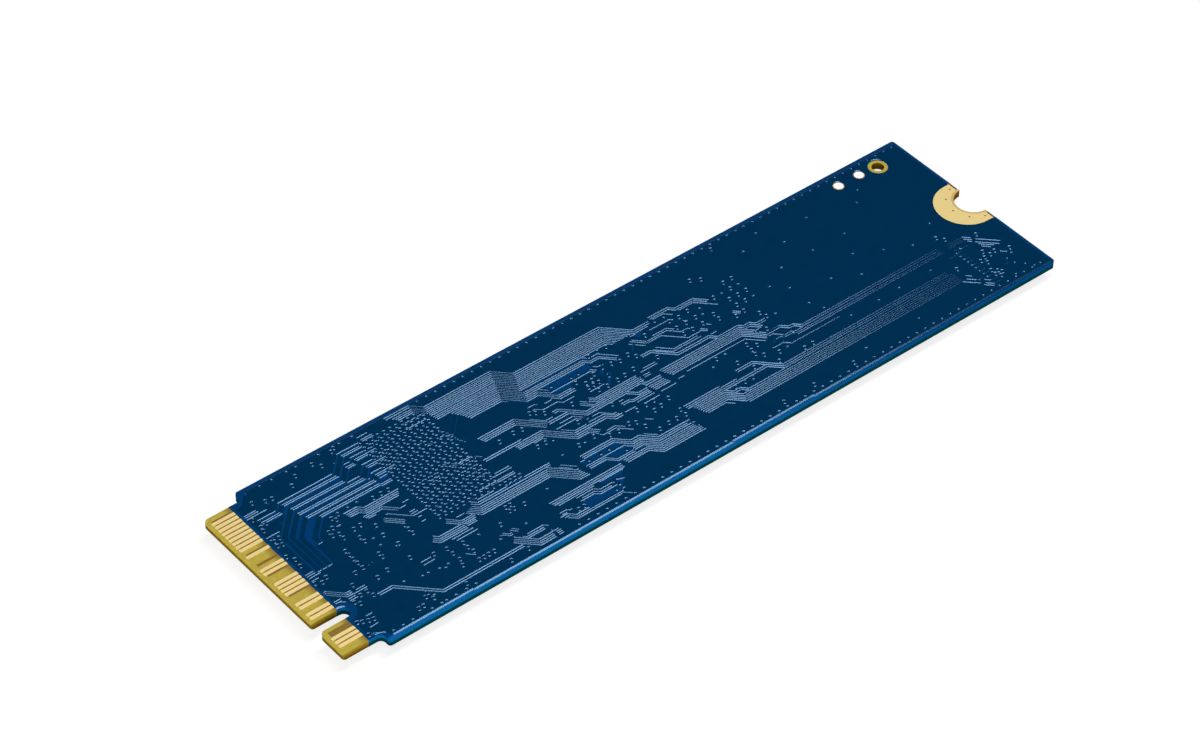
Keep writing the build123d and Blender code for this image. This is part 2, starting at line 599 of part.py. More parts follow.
# Chip capacitors and resistors: ceramic middles and metal ends
COUPLING_AT = [(6.2, pair + side * 0.35, False) for pair in (8.0, 5.0, 2.0, -1.0) for side in (-1, 1)]
SMALL_AT = (
    chip_places((24.8,), (8.2, 6.2, 4.2, 2.2, 0.2, -1.8), True)
    + chip_places((14.2,), (3.2, 1.6, 0.0), True)
    + chip_places((29.2, 43.25, 57.3), (5.4, 2.7, 0.0, -2.7, -5.4), True)
    + chip_places((34.3, 38.9, 47.6, 52.2), (8.1, -8.1), False)
)
BULK_AT = (
    chip_places((18.6,), (-6.0, -8.2), False)
    + chip_places((26.6,), (9.3, -6.5), True)
    + [(9.2, 9.7, False), (5.8, -5.0, True)]
)
RESISTORS_AT = (
    chip_places((17.2, 18.7, 20.2, 21.7), (-4.1,), False)
    + chip_places((8.6, 14.6), (7.3, 5.9), True)
)

with BuildPart() as coupling_capacitors:
    with BuildSketch(level(CHIP_FACE - COUPLING_CHIP[2] + CHIP_STEP_IN)):
        add(chip_bodies(COUPLING_AT, COUPLING_CHIP))
    extrude(amount=COUPLING_CHIP[2] - CHIP_STEP_IN)
coupling_capacitors.part.label = "coupling_capacitors"

with BuildPart() as coupling_ends:
    with BuildSketch(level(CHIP_FACE - COUPLING_CHIP[2])):
        add(chip_ends(COUPLING_AT, COUPLING_CHIP))
    extrude(amount=COUPLING_CHIP[2])
coupling_ends.part.label = "coupling_capacitor_ends"

with BuildPart() as small_capacitors:
    with BuildSketch(level(CHIP_FACE - SMALL_CHIP[2] + CHIP_STEP_IN)):
        add(chip_bodies(SMALL_AT, SMALL_CHIP))
    extrude(amount=SMALL_CHIP[2] - CHIP_STEP_IN)
small_capacitors.part.label = "decoupling_capacitors"

with BuildPart() as small_ends:
    with BuildSketch(level(CHIP_FACE - SMALL_CHIP[2])):
        add(chip_ends(SMALL_AT, SMALL_CHIP))
    extrude(amount=SMALL_CHIP[2])
small_ends.part.label = "decoupling_capacitor_ends"

with BuildPart() as bulk_capacitors:
    with BuildSketch(level(CHIP_FACE - BULK_CHIP[2] + CHIP_STEP_IN)):
        add(chip_bodies(BULK_AT, BULK_CHIP))
    extrude(amount=BULK_CHIP[2] - CHIP_STEP_IN)
bulk_capacitors.part.label = "bulk_capacitors"

with BuildPart() as bulk_ends:
    with BuildSketch(level(CHIP_FACE - BULK_CHIP[2])):
        add(chip_ends(BULK_AT, BULK_CHIP))
    extrude(amount=BULK_CHIP[2])
bulk_ends.part.label = "bulk_capacitor_ends"

with BuildPart() as resistors:
    with BuildSketch(level(CHIP_FACE - RESISTOR_CHIP[2] + CHIP_STEP_IN)):
        add(chip_bodies(RESISTORS_AT, RESISTOR_CHIP))
    extrude(amount=RESISTOR_CHIP[2] - CHIP_STEP_IN)
resistors.part.label = "resistors"

with BuildPart() as resistor_ends:
    with BuildSketch(level(CHIP_FACE - RESISTOR_CHIP[2])):
        add(chip_ends(RESISTORS_AT, RESISTOR_CHIP))
    extrude(amount=RESISTOR_CHIP[2])
resistor_ends.part.label = "resistor_ends"

# Lands of the unused probe connector, where the probe buses end
with BuildPart() as probe_lands:
    with BuildSketch(level(CHIP_FACE - LAND_HEIGHT)):
        with Locations((74.2, -7.1)):
            with GridLocations(2.2, CONTACT_PITCH, 2, 11):
                Rectangle(0.9, LAND_WIDTH)
    extrude(amount=LAND_HEIGHT)
probe_lands.part.label = "probe_lands"

# One STEP file for each piece
PIECES = (
    laminate, bare_mask, chip_mask, ground_plane, lanes, flash_buses, probe_buses, bare_contacts,
    chip_contacts, bare_screw_pad, chip_screw_pad, round_pads, controller, controller_balls, flash_1,
    flash_1_balls, flash_2, flash_2_balls, power_manager, power_lands, load_switch, switch_lands, inductors,
    inductor_lands,
    crystal_base, crystal_lid, coupling_capacitors, coupling_ends, small_capacitors, small_ends,
    bulk_capacitors, bulk_ends, resistors, resistor_ends, probe_lands,
)
os.makedirs("parts", exist_ok=True)
for piece in PIECES:
    export_step(piece.part, f"parts/{piece.part.label}.step")
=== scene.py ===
"""Studio picture of an M.2 2280 solid-state drive lying bare side up on its flash packages."""
import json
from math import cos, hypot, pi, radians, sin

import bmesh
import bpy
from mathutils import Matrix, Vector

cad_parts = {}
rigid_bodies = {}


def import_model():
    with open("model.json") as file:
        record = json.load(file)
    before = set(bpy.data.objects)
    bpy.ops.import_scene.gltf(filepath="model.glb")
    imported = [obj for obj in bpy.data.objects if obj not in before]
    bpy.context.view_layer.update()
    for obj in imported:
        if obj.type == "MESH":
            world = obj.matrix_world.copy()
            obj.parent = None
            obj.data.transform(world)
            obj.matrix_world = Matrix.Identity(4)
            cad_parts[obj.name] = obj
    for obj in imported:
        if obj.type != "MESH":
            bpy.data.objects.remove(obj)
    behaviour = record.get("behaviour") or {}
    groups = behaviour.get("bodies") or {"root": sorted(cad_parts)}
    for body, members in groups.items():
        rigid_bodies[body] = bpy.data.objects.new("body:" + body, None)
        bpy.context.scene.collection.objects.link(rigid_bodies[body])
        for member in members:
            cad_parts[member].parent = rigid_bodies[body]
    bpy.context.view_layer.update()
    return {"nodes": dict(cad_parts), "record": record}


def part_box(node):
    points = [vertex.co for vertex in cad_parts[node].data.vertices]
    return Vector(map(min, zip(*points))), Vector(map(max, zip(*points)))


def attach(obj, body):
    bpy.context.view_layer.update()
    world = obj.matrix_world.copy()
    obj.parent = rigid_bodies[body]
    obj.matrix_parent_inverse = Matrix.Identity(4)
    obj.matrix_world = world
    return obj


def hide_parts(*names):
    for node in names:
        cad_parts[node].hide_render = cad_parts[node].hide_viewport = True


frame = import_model()

# Board places are in millimetres: x from the tongue's end, y from the centre line, z from the floor
MM = 0.001
TONGUE_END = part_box("laminate")[0][0] / MM
LAMINATE_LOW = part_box("laminate")[0][2] / MM
LAMINATE_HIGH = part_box("laminate")[1][2] / MM
MASK_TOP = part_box("bare_side_mask")[1][2] / MM
PLANE_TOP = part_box("masked_ground_plane")[1][2] / MM
CHIP_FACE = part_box("chip_side_mask")[0][2] / MM

# Limits for reading meshes: two lengths in metres, and two for the normals of faces
JOIN_WITHIN = 1e-7
TOP_WITHIN = 1e-6
UPRIGHT_BELOW = 0.5
SAME_WAY_FROM = 0.99

# Relief under the mask
WALL_RUN = 0.067
FOOT_SINK = 0.002
TOP_SINK = 0.0015
LEAST_SPREAD = 0.02
LONGEST_STEP = 3.2
GROOVE_FAR = 0.03
GROOVE_NEAR = 0.14
GROOVE_PITCH = 0.21
EYE_CLEAR_R = 0.29
EYE_PAD_R = 0.15
DOT_R = 0.19
DOT_GLINT = 0.15
ROUND_SIDES = 14
DOT_SIDES = 8
CUT_BEYOND = 0.1

# Colours of the surfaces, as linear red, green and blue
COPPER_BLUE = (0.0001, 0.0240, 0.0690)
BARE_BLUE = (0.0006, 0.036, 0.128)
# painted highlight: brighter blue of the mask along the near edge
BORDER_HIGHLIGHT_BLUE = (0.004, 0.100, 0.300)
MASK_GLINT = (0.38, 0.66, 1.0)
OLIVE = (0.40, 0.31, 0.042)
TOOLING_OLIVE = (0.40, 0.33, 0.035)
NOTCH_TAN = (0.50, 0.36, 0.13)
# painted shade in the via holes of the screw pad
VIA_HOLE_SHADE = (0.10, 0.045, 0.025)
BURIED_BROWN = (0.19, 0.11, 0.018)
# cut sides: olive, going to dark brown painted shade towards the bottom; the walls of the holes brown with
# painted shade
CUT_OLIVE = (0.32, 0.23, 0.02)
CUT_SHADE_BROWN = (0.095, 0.040, 0.0005)
HOLE_SHADE_BROWN = (0.17, 0.075, 0.004)
# painted shade and painted highlight of the sides: dark green below, bright blue above that fades along the
# board
SIDE_SHADE_GREEN = (0.0005, 0.034, 0.031)
SIDE_HIGHLIGHT_BLUE = (0.002, 0.095, 0.28)
SIDE_FAINT_HIGHLIGHT_BLUE = (0.001, 0.055, 0.19)
GOLD = (1.0, 0.78, 0.33)
TIN = (0.85, 0.85, 0.84)
PAD_TIN = (0.96, 0.96, 0.96)
PAD_DULL = (0.92, 0.92, 0.93)
PAD_BRIGHT = (1.0, 1.0, 1.0)
PAD_COPPER = (0.72, 0.40, 0.28)
MOULD_BLACK = (0.018, 0.018, 0.020)
MARK_GREY = (0.045, 0.045, 0.047)
FERRITE_GREY = (0.08, 0.08, 0.085)
DARK_CERAMIC = (0.05, 0.045, 0.04)
LID_GREY = (0.62, 0.60, 0.56)
TAN_CERAMIC = (0.40, 0.27, 0.15)
COAT_BLACK = (0.015, 0.015, 0.016)
FLOOR_GREY = (0.93, 0.93, 0.93)
ROOM_GREY = (0.006, 0.006, 0.006)

# Contacts of the other side that show through the tongue
BURIED_X = (0.5, 2.6)
BURIED_Y = (
    9.25, 8.75, 8.25, 7.75, 7.25, 6.75, 6.25, 5.75, 5.25, 4.25, 2.75, 1.75, 1.25, -0.25, -0.75, -1.25, -1.75,
    -3.25, -4.75, -7.3, -7.6, -8.25, -8.75,
)
BURIED_HALF = 0.14

# Where the laminate changes colour: places along the board, distances and shares
ROOT_X = (2.65, 5.0)
ROOT_SHADE_X = (1.9, 2.6)
ROOT_SHADE = 0.85
BEHIND_TONGUE_X = (2.8, 3.0)
# where the painted highlight of the near border and of the sides fades along the board
HIGHLIGHT_FADE_X = (38, 66)
LONG_SIDE_FROM = 9.95
END_BAND = 0.05
# shares of the thickness where the sides go from painted shade to painted highlight
SHADE_TO_HIGHLIGHT_SHARES = (0.42, 0.62)
# shares of the thickness over which the painted shade of the cut sides gives way to olive
CUT_SHARES = (0.15, 1)
NOTCH_AT = 80.0
NOTCH_LIP_R = 2.05
NOTCH_PAD_R = 3.9

# Borders of the masks: where that of the chip side starts, and where the painted highlight along the near one
# lies
BORDER_FROM = 10.6
NEAR_HIGHLIGHT_Y = (-10.62, -10.85)

# Round pads: places, radius, and how far in from the edge copper starts to show and is full
ROUND_PADS = ((71.6, 9.24), (74.15, 9.24))
ROUND_PAD_R = 0.5
ROUND_PAD_RIM = (0.1, 0.02)

# Round marks on the packages: node, how far in from the corner and radius
FIRST_CONTACTS = (
    ("flash_package_1", 1.2, 0.45), ("flash_package_2", 1.2, 0.45), ("controller", 1.0, 0.4),
    ("power_manager", 0.7, 0.25), ("load_switch", 0.5, 0.18),
)

# Straight lines along the board: y, then where the line starts and ends
DASHES = (
    (8.2, 2.8, 4.25), (4.65, 2.85, 3.5), (-0.65, 2.8, 3.95), (-1.17, 2.7, 4.2), (-1.55, 2.7, 3.7),
    (-4.65, 2.8, 3.7), (-4.9, 2.8, 3.6), (-5.1, 4.15, 4.9), (-5.35, 4.1, 5.0), (-7.55, 4.1, 4.8),
    (2.35, 8.4, 8.9), (2.1, 8.0, 8.9), (1.45, 11.1, 11.95), (1.2, 14.5, 15.2), (-0.1, 14.3, 14.9),
    (-0.37, 14.2, 15.0), (-1.05, 14.5, 14.9), (-1.65, 14.4, 14.9), (-4.95, 15.1, 17.4), (-5.3, 15.3, 17.6),
    (-5.47, 11.4, 12.5), (-5.87, 11.4, 12.6), (8.7, 12.8, 13.3), (8.35, 13.0, 13.4), (8.1, 13.0, 13.4),
    (6.05, 12.6, 13.4), (10.0, 16.2, 17.4), (9.6, 16.35, 17.6), (9.38, 16.35, 17.6), (8.58, 16.85, 17.6),
    (8.87, 20.2, 22.6), (8.17, 20.2, 22.5), (2.25, 17.2, 19.1), (1.8, 17.8, 19.1), (1.58, 17.8, 19.1),
    (2.02, 21.1, 22.6), (1.82, 21.1, 22.6), (1.6, 20.8, 22.8), (0.95, 20.3, 22.5), (0.27, 20.7, 22.6),
    (-0.38, 20.9, 22.7), (5.55, 21.7, 22.7), (5.25, 22.4, 22.8), (5.0, 22.5, 22.95), (3.25, 31.65, 32.5),
    (1.93, 35.7, 37.35), (-4.28, 17.15, 18.2), (-4.48, 17.15, 18.2), (-0.95, 22.8, 24.4), (-1.22, 22.1, 24.5),
    (-1.73, 20.4, 24.3), (-1.95, 22.1, 24.3), (-7.4, 24.65, 28.6), (-8.48, 24.2, 24.75), (-9.7, 22.55, 23.1),
    (-9.91, 22.55, 23.1), (-10.12, 22.55, 23.1), (-0.62, 36.9, 37.4), (-1.67, 38.1, 40.1),
    (-2.17, 38.45, 40.3), (-2.0, 36.45, 37.7), (-0.22, 40.3, 41.3), (-1.9, 40.65, 42.4), (-1.6, 42.85, 43.6),
    (0.65, 40.7, 41.5), (0.4, 40.7, 41.4), (1.37, 41.3, 42.7), (1.1, 40.8, 42.75), (-3.13, 54.0, 54.7),
    (-3.5, 73.6, 75.5), (-3.7, 73.6, 75.5), (1.05, 48.9, 49.6), (5.75, 17.0, 17.7), (-7.95, 3.2, 3.7),
)

# Short lines at the places of the probe connector
PROBE_PITCH = 0.51
PROBE_DASHES = tuple((-4.66 - PROBE_PITCH * n, 73.5, 74.25) for n in range(11))

# Lines with bends: the path of the far line, and the number of lines beside each other
ROUTES = (
    (((2.9, 7.98), (4.3, 7.98), (4.5, 8.15)), 1),
    (((3.0, 7.72), (5.0, 7.72), (5.45, 8.17)), 1),
    (((2.65, 4.9), (4.3, 4.9), (5.0, 5.6)), 1),
    (((2.7, -0.9), (4.05, -0.9), (4.4, -0.6)), 1),
    (((2.7, -3.2), (3.2, -3.2), (4.4, -4.4), (4.9, -4.4)), 3),
    (((4.25, -4.88), (6.2, -4.88), (8.2, -2.9)), 1),
    (((5.25, -4.62), (6.15, -4.62), (7.8, -2.97)), 1),
    (((3.3, -9.1), (3.6, -8.8), (4.5, -8.75)), 1),
    (((10.85, 1.87), (12.9, 1.87), (14.0, 0.78), (14.6, 0.78)), 1),
    (((10.95, 1.65), (12.75, 1.65), (13.75, 0.65)), 1),
    (((12.55, 0.9), (12.75, 0.9), (14.3, -0.65), (15.8, -0.65)), 1),
    (((12.2, 0.65), (13.5, -0.65)), 3),
    (((16.65, 7.05), (16.8, 7.17), (17.65, 7.17), (18.1, 6.75)), 1),
    (((20.1, 6.1), (21.1, 5.1)), 1),
    (((20.2, 2.9), (21.1, 2.0)), 3),
    (((17.7, 0.4), (18.6, -0.5)), 1),
    (((27.8, -0.1), (28.8, -0.1), (29.1, -0.4)), 1),
    (((30.1, 3.72), (30.9, 3.72), (31.15, 3.47)), 1),
    (((30.3, 3.2), (30.6, 3.2), (31.08, 2.72), (32.7, 2.72), (33.07, 2.35), (34.3, 2.35)), 1),
    (((29.4, 2.5), (30.4, 1.5), (31.2, 1.5)), 1),
    (((38.0, 4.35), (38.3, 4.05), (38.75, 4.05), (38.9, 3.9)), 1),
    (((30.75, -0.25), (31.57, -1.07), (32.9, -1.07)), 1),
    (((31.1, 0.45), (32.6, 0.45), (33.3, -0.25)), 1),
    (((30.4, 0.05), (32.6, 0.05), (33.0, -0.35)), 1),
    (((33.85, -0.62), (34.7, -0.62), (35.6, -1.52), (35.9, -1.52)), 1),
    (((33.2, -1.0), (34.85, -1.0), (35.6, -1.75), (36.0, -1.75)), 1),
    (((19.45, -2.2), (19.77, -2.52), (21.5, -2.52)), 1),
    (((17.0, -3.1), (18.0, -3.1), (18.5, -3.6)), 1),
    (((27.6, -3.75), (28.5, -4.65)), 1),
    (((27.9, -3.6), (29.0, -4.7)), 1),
    (((30.05, -9.55), (30.65, -10.15)), 1),
    (((15.0, -7.0), (15.65, -7.65)), 1),
    (((26.4, -7.65), (28.3, -7.65), (28.7, -8.05), (30.05, -8.05), (30.25, -8.25)), 1),
    (((26.8, -7.95), (28.2, -7.95), (28.58, -8.33), (29.8, -8.33)), 1),
    (((24.15, -8.2), (24.9, -8.2), (25.1, -8.4), (25.35, -8.4)), 1),
    (((20.45, -8.38), (22.2, -8.38), (22.6, -8.78)), 1),
    (((20.0, -8.4), (20.23, -8.63), (22.1, -8.63)), 2),
    (((22.35, -9.28), (22.55, -9.48), (23.0, -9.48)), 1),
    (((18.9, -7.0), (19.35, -7.45), (19.55, -7.45)), 2),
    (((19.85, -7.05), (20.35, -7.55)), 1),
    (((19.6, -7.15), (20.15, -7.7)), 1),
    (((48.15, 4.05), (48.5, 3.7)), 1),
    (((49.45, 2.4), (49.85, 2.0)), 1),
    (((18.55, -7.1), (18.85, -7.4)), 1),
    (((36.05, -5.1), (36.95, -6.0)), 1),
    (((36.8, -0.97), (37.8, -0.97), (38.03, -1.2), (40.0, -1.2)), 1),
    (((36.9, -1.2), (37.7, -1.2), (37.9, -1.4), (40.05, -1.4)), 1),
    (((33.75, -2.77), (34.75, -2.77), (35.4, -3.42)), 1),
    (((33.0, -2.8), (33.23, -3.03), (34.6, -3.03), (35.75, -4.18)), 1),
    (((37.35, -3.7), (37.9, -4.25)), 1),
    (((42.1, -6.58), (44.2, -6.58), (44.8, -7.18)), 1),
    (((48.7, 5.3), (50.45, 5.3), (52.1, 3.65)), 1),
    (((46.1, 5.82), (47.35, 5.82), (48.0, 5.17)), 1),
    (((44.95, 4.88), (47.3, 4.88), (47.58, 4.6)), 1),
    (((44.7, 4.15), (46.3, 4.15), (46.85, 3.6)), 1),
    (((43.9, 3.9), (46.15, 3.9), (47.07, 2.98), (47.8, 2.98), (48.0, 2.78)), 1),
    (((43.8, 3.68), (45.35, 3.68), (47.08, 1.95), (48.55, 1.95), (48.95, 1.55)), 1),
    (((42.65, 4.8), (43.83, 3.62)), 1),
    (((42.9, 4.85), (43.85, 3.9)), 1),
    (((42.35, 4.6), (43.45, 3.5)), 1),
    (((43.6, 2.65), (44.85, 1.4), (48.1, 1.4)), 1),
    (((43.95, 2.8), (45.1, 1.65), (47.85, 1.65)), 1),
    (((52.5, 2.2), (53.05, 1.65)), 2),
    (((48.7, 2.2), (49.2, 1.7)), 2),
    (((53.0, -3.07), (53.7, -3.07), (54.0, -3.35), (54.8, -3.35), (55.0, -3.55)), 1),
    (((52.75, -2.35), (53.3, -2.35), (54.05, -3.1), (54.8, -3.1), (55.1, -3.4)), 1),
    (((52.1, -3.7), (52.2, -3.8), (53.3, -3.8), (53.83, -4.33), (59.6, -4.33)), 1),
    (((44.05, -1.33), (50.9, -1.33), (52.25, -2.68)), 1),
    (((71.35, -7.75), (72.6, -9.0)), 1),
    (((71.95, -7.75), (72.85, -8.65)), 1),
    (((72.2, -7.35), (72.65, -7.8)), 1),
    (((72.65, -9.3), (73.35, -10.0)), 1),
    (((72.95, -9.2), (73.55, -9.8)), 1),
    (((73.15, -8.8), (73.6, -9.25)), 1),
    (((73.5, -3.22), (75.6, -3.22), (76.2, -3.82)), 1),
    (((75.5, -3.5), (76.1, -4.1)), 1),
    (((75.6, -3.95), (75.95, -4.3)), 1),
    (((76.4, -4.15), (78.05, -5.8)), 1),
    (((76.1, -4.45), (77.7, -6.05)), 1),
    (((76.15, -4.85), (77.2, -5.9)), 1),
    (((76.15, -5.25), (76.8, -5.9)), 1),
    (((73.6, -4.22), (74.3, -4.22), (74.48, -4.4), (75.3, -4.4)), 1),
    (((77.0, -6.8), (77.5, -7.3)), 1),
)

# Vias with a cleared ring round their pad, and the grid of them under the controller
EYES = (
    (3.3, 7.3), (3.4, 6.2), (3.3, 5.7), (4.0, 6.3), (3.2, 4.6), (3.3, 4.1), (3.85, 4.2), (3.2, 3.5),
    (3.65, 3.4), (3.0, 2.0), (3.4, 1.3), (3.3, 0.4), (3.0, -2.0), (3.6, -2.3), (4.2, -2.0), (7.5, 2.1),
    (7.5, 1.6), (8.1, 1.4), (8.1, 0.8), (9.2, 0.0), (9.25, -0.6), (9.3, -3.0), (8.65, 3.3), (5.2, -5.45),
    (5.9, -5.4), (4.3, -5.8), (4.6, -6.2), (6.05, -6.1), (3.1, -7.8), (3.5, -8.0), (4.0, -8.2), (4.45, -8.3),
    (3.0, -9.5), (9.7, -8.7), (10.1, -9.0), (11.3, -2.6), (10.9, -1.0), (11.1, 0.3), (4.45, 9.0), (5.5, 8.5),
    (6.15, 8.4), (8.4, 8.6), (9.3, 9.4), (11.25, 9.65), (11.8, 9.0), (13.5, 9.9), (13.9, 10.15), (9.4, 3.4),
    (8.9, 2.95), (8.05, 2.35), (12.9, 3.1), (13.75, 3.1), (14.5, 3.1), (7.25, -0.55), (7.25, -1.1),
    (7.25, -1.7), (7.25, -2.3), (7.25, -3.0), (6.4, -3.1), (5.35, -4.1), (7.55, -4.7), (8.7, -4.5),
    (9.3, -2.55), (11.05, -4.55), (12.85, -5.45), (14.1, -5.65), (14.2, -7.3), (15.6, -5.95), (15.7, -7.25),
    (15.45, -8.35), (15.95, -8.35), (16.45, -8.35), (17.05, -8.35), (12.9, -9.9), (9.3, -9.0), (9.75, -9.5),
    (8.05, -9.7), (8.55, -9.7), (17.5, -10.1), (19.4, -6.2), (22.55, -5.5), (21.0, -4.85), (21.5, -4.85),
    (21.0, -5.4), (21.5, -5.4), (25.6, 1.8), (28.1, 1.8), (30.7, -2.8), (33.45, -0.5), (32.45, -0.5),
    (36.2, -0.6), (37.45, -2.55), (38.5, -2.5), (39.4, -2.5), (40.6, -3.05), (38.65, -3.5), (39.5, -3.4),
    (35.8, -3.4), (36.4, -3.7), (36.75, -4.55), (33.6, -3.5), (34.5, -3.6), (38.6, -5.5), (39.5, -5.5),
    (40.45, -5.6), (37.5, -5.6), (33.5, 1.6), (32.45, -4.7), (33.5, 4.6), (35.6, 4.4), (36.4, 4.4),
    (37.4, 3.4), (35.5, 3.5), (36.15, 2.9), (36.8, 2.9), (38.55, 3.6), (39.5, 3.5), (38.35, 2.45),
    (36.5, 1.55), (37.45, 1.5), (38.6, 1.5), (39.5, 1.6), (38.5, 5.5), (39.5, 5.5), (40.5, 5.5), (41.4, 3.5),
    (41.85, 2.9), (43.25, 1.6), (46.1, 5.5), (47.15, 5.5), (44.2, 4.5), (47.1, 4.6), (47.1, 3.5),
    (48.15, 3.5), (47.1, 2.5), (48.1, 2.5), (49.3, 4.65), (49.3, 3.55), (49.3, 2.5), (50.85, 2.85),
    (50.85, 2.1), (52.3, 4.55), (52.1, 7.65), (53.0, 7.15), (56.4, 9.75), (54.3, 5.55), (55.3, 5.55),
    (54.3, 4.55), (53.3, 3.5), (54.3, 3.5), (55.3, 3.5), (53.3, 2.5), (54.3, 2.5), (52.3, 1.4), (53.3, 1.5),
    (54.2, 0.4), (54.4, -0.3), (53.3, -1.6), (50.5, -2.1), (50.4, -2.9), (51.2, -2.7), (52.2, -4.6),
    (51.4, -5.5), (54.3, -5.6), (55.3, -5.6), (48.3, -3.4), (49.1, -4.75), (48.15, -5.65), (47.2, -5.65),
    (46.15, -5.65), (48.2, -9.75), (51.75, -9.75), (56.4, -9.8), (73.6, -1.95), (74.1, -2.6), (76.85, -3.85),
    (72.15, -6.3), (75.25, -6.7), (75.0, -7.35), (75.95, -6.7), (76.6, -6.55), (75.65, -6.0), (78.0, -7.1),
    (77.75, -7.5), (74.5, -8.35), (74.45, -8.95), (74.95, -8.75), (75.2, -9.1), (74.75, -9.4), (74.65, -6.85),
    (27.8, -0.75), (28.65, -0.75), (29.4, -0.75), (27.2, 1.95), (29.85, 3.0), (30.3, 2.7), (30.9, 2.2),
    (35.95, 2.35), (36.55, 2.35), (37.15, 2.35), (40.6, 1.75), (40.35, 3.3), (32.4, -2.75), (40.45, -4.85),
    (30.25, -4.7), (31.55, -4.7), (33.6, -5.7), (9.4, 1.1), (10.1, 1.15), (13.0, -1.15), (13.0, -1.75),
    (13.0, -2.35), (13.95, -8.0), (15.6, -6.6), (14.15, -6.4), (19.5, -9.9), (48.15, 4.5), (50.3, -3.5),
    (50.85, -4.05), (47.15, -1.85), (22.82, -2.55), (23.35, -2.55), (23.87, -2.55), (24.38, -2.55),
    (25.75, -8.9), (26.35, -8.9), (29.8, -8.95), (30.45, -8.6),
)
GRID_COLUMNS = (15.95, 16.6, 17.2, 17.85, 18.5, 19.15, 19.8, 20.45, 21.1, 21.75, 22.4)
GRID_ROWS = (
    9.0, 8.4, 7.7, 7.0, 6.35, 5.7, 5.05, 4.4, 3.65, 2.95, 2.3, 1.6, 1.0, 0.35, -0.3, -0.85, -1.5, -2.2,
)

# Vias that the mask covers, by the glint on their far wall: scattered ones and rows along the long edges
DOTS = (
    (58.5, 7.75), (61.05, 9.0), (62.3, 6.45), (59.75, 3.9), (63.6, 3.95), (57.2, 2.6), (58.5, 1.35),
    (62.3, 0.0), (58.5, -1.25), (59.15, -2.6), (60.35, -4.85), (63.7, -4.9), (58.5, -8.95), (55.2, 4.65),
    (55.2, 2.6), (53.2, 4.65), (55.2, -0.45), (66.15, 7.75), (72.5, 7.75), (71.25, 6.45), (67.4, 3.9),
    (66.1, 1.3), (68.7, 0.0), (64.85, -1.3), (71.2, -1.25), (66.25, -4.8), (70.1, -4.8), (64.85, -8.95),
    (76.7, -7.95), (76.85, -8.8), (77.5, -9.5), (78.0, -10.2), (74.5, 0.05), (11.0, -2.65), (10.55, -6.8),
    (11.15, -6.8), (12.2, -7.0), (13.1, -7.0), (12.65, -7.25), (8.95, -6.35), (25.15, -5.2), (28.8, -2.8),
    (31.3, -2.8), (75.85, -10.0), (10.0, -0.7), (10.0, -1.7), (10.5, 3.6), (11.5, 3.65), (50.35, 4.3),
    (50.05, 3.55), (53.15, -4.45), (48.15, -1.75), (46.2, -2.4), (17.2, -5.9), (18.3, -7.5), (21.15, -7.35),
)
EDGE_PITCH = 1.02
EDGE_DOTS = (
    (10.38, (4.65, 6.2, 7.45, 9.0, 10.0, 12.4, 14.6, 16.0)),
    (10.42, tuple(23.1 + EDGE_PITCH * n for n in range(56))),
    (-10.28, (4.9, 5.9, 6.9, 8.9, 9.9, 10.4, 11.4, 12.5, 13.5)),
    (-10.28, tuple(24.6 + EDGE_PITCH * n for n in range(54))),
)
PROBE_DOTS = tuple((73.55, -4.6 - PROBE_PITCH * n) for n in range(9))

# Beads of mask at the near edge, near shoulder and key slot, by the path of their upright far side
EDGE_BEAD = (
    (4.7, -10.65), (12.95, -10.65), (13.05, -10.74), (41.35, -10.74), (41.45, -10.65), (50.75, -10.65),
    (50.85, -10.75), (79.6, -10.75),
)
SHOULDER_BEAD = ((3.4, -9.72), (3.75, -9.75), (4.05, -9.87), (4.3, -10.07))
SLOT_END = (2.9, -6.125)
SLOT_BEADS_R = (0.69, 0.79)
SLOT_BEAD_START = 2.67
SLOT_BEAD_TURNS = (90, 75, 60, 45, 35)
BEAD_TOP = 0.012
LOW_BEAD_STEP = 0.08
LOW_BEAD_SHARE = 0.5

# Places with no copper under the mask, as outlines
PATCHES = (
    ((26.6, -9.27), (30.3, -9.27), (31.25, -8.32), (30.5, -8.0), (30.2, -8.55), (28.35, -8.55), (28.0, -8.2),
     (26.45, -8.2)),
    ((29.2, -7.85), (30.9, -7.85), (31.1, -8.2), (31.95, -7.35), (29.2, -7.35)),
    ((33.0, 4.1), (37.9, 4.1), (37.9, 4.95), (33.0, 4.95)),
    ((37.9, 2.6), (38.8, 3.5), (38.8, 4.2), (37.9, 3.3)),
    ((37.6, 1.3), (38.8, 2.5), (38.8, 3.1), (37.6, 1.9)),
    ((42.0, 3.35), (42.8, 4.15), (42.8, 4.5), (42.0, 3.9)),
    ((43.7, 4.45), (44.5, 5.25), (43.0, 5.25)),
    ((46.9, 2.05), (47.6, 2.75), (47.6, 3.0), (46.9, 2.5)),
    ((52.3, -1.65), (52.9, -1.05), (52.3, -1.05)),
    ((52.5, -3.7), (53.2, -3.0), (53.2, -2.75), (52.5, -3.2)),
    ((53.3, -4.0), (54.1, -3.2), (54.1, -2.95), (53.3, -3.5)),
    ((54.2, -3.1), (54.9, -2.4), (54.9, -2.2), (54.2, -2.75)),
    ((22.65, -2.9), (24.6, -2.9), (24.6, -2.72), (22.65, -2.72)),
)

# Solder balls under the packages
BALL_SIDES = 10
BALL_FOOT = 0.72
BALL_NODES = ("controller_balls", "flash_package_1_balls", "flash_package_2_balls")

# Solder fillets at the ends of the chip parts: reach, shares of climb and of the hollow's place
FILLET_REACH = 0.14
FILLET_CLIMB = 0.7
HOLLOW_OUT = 0.3
HOLLOW_UP = 0.35
CHIP_NODES = (
    ("coupling_capacitors", "coupling_capacitor_ends"),
    ("decoupling_capacitors", "decoupling_capacitor_ends"),
    ("bulk_capacitors", "bulk_capacitor_ends"),
    ("resistors", "resistor_ends"),
)

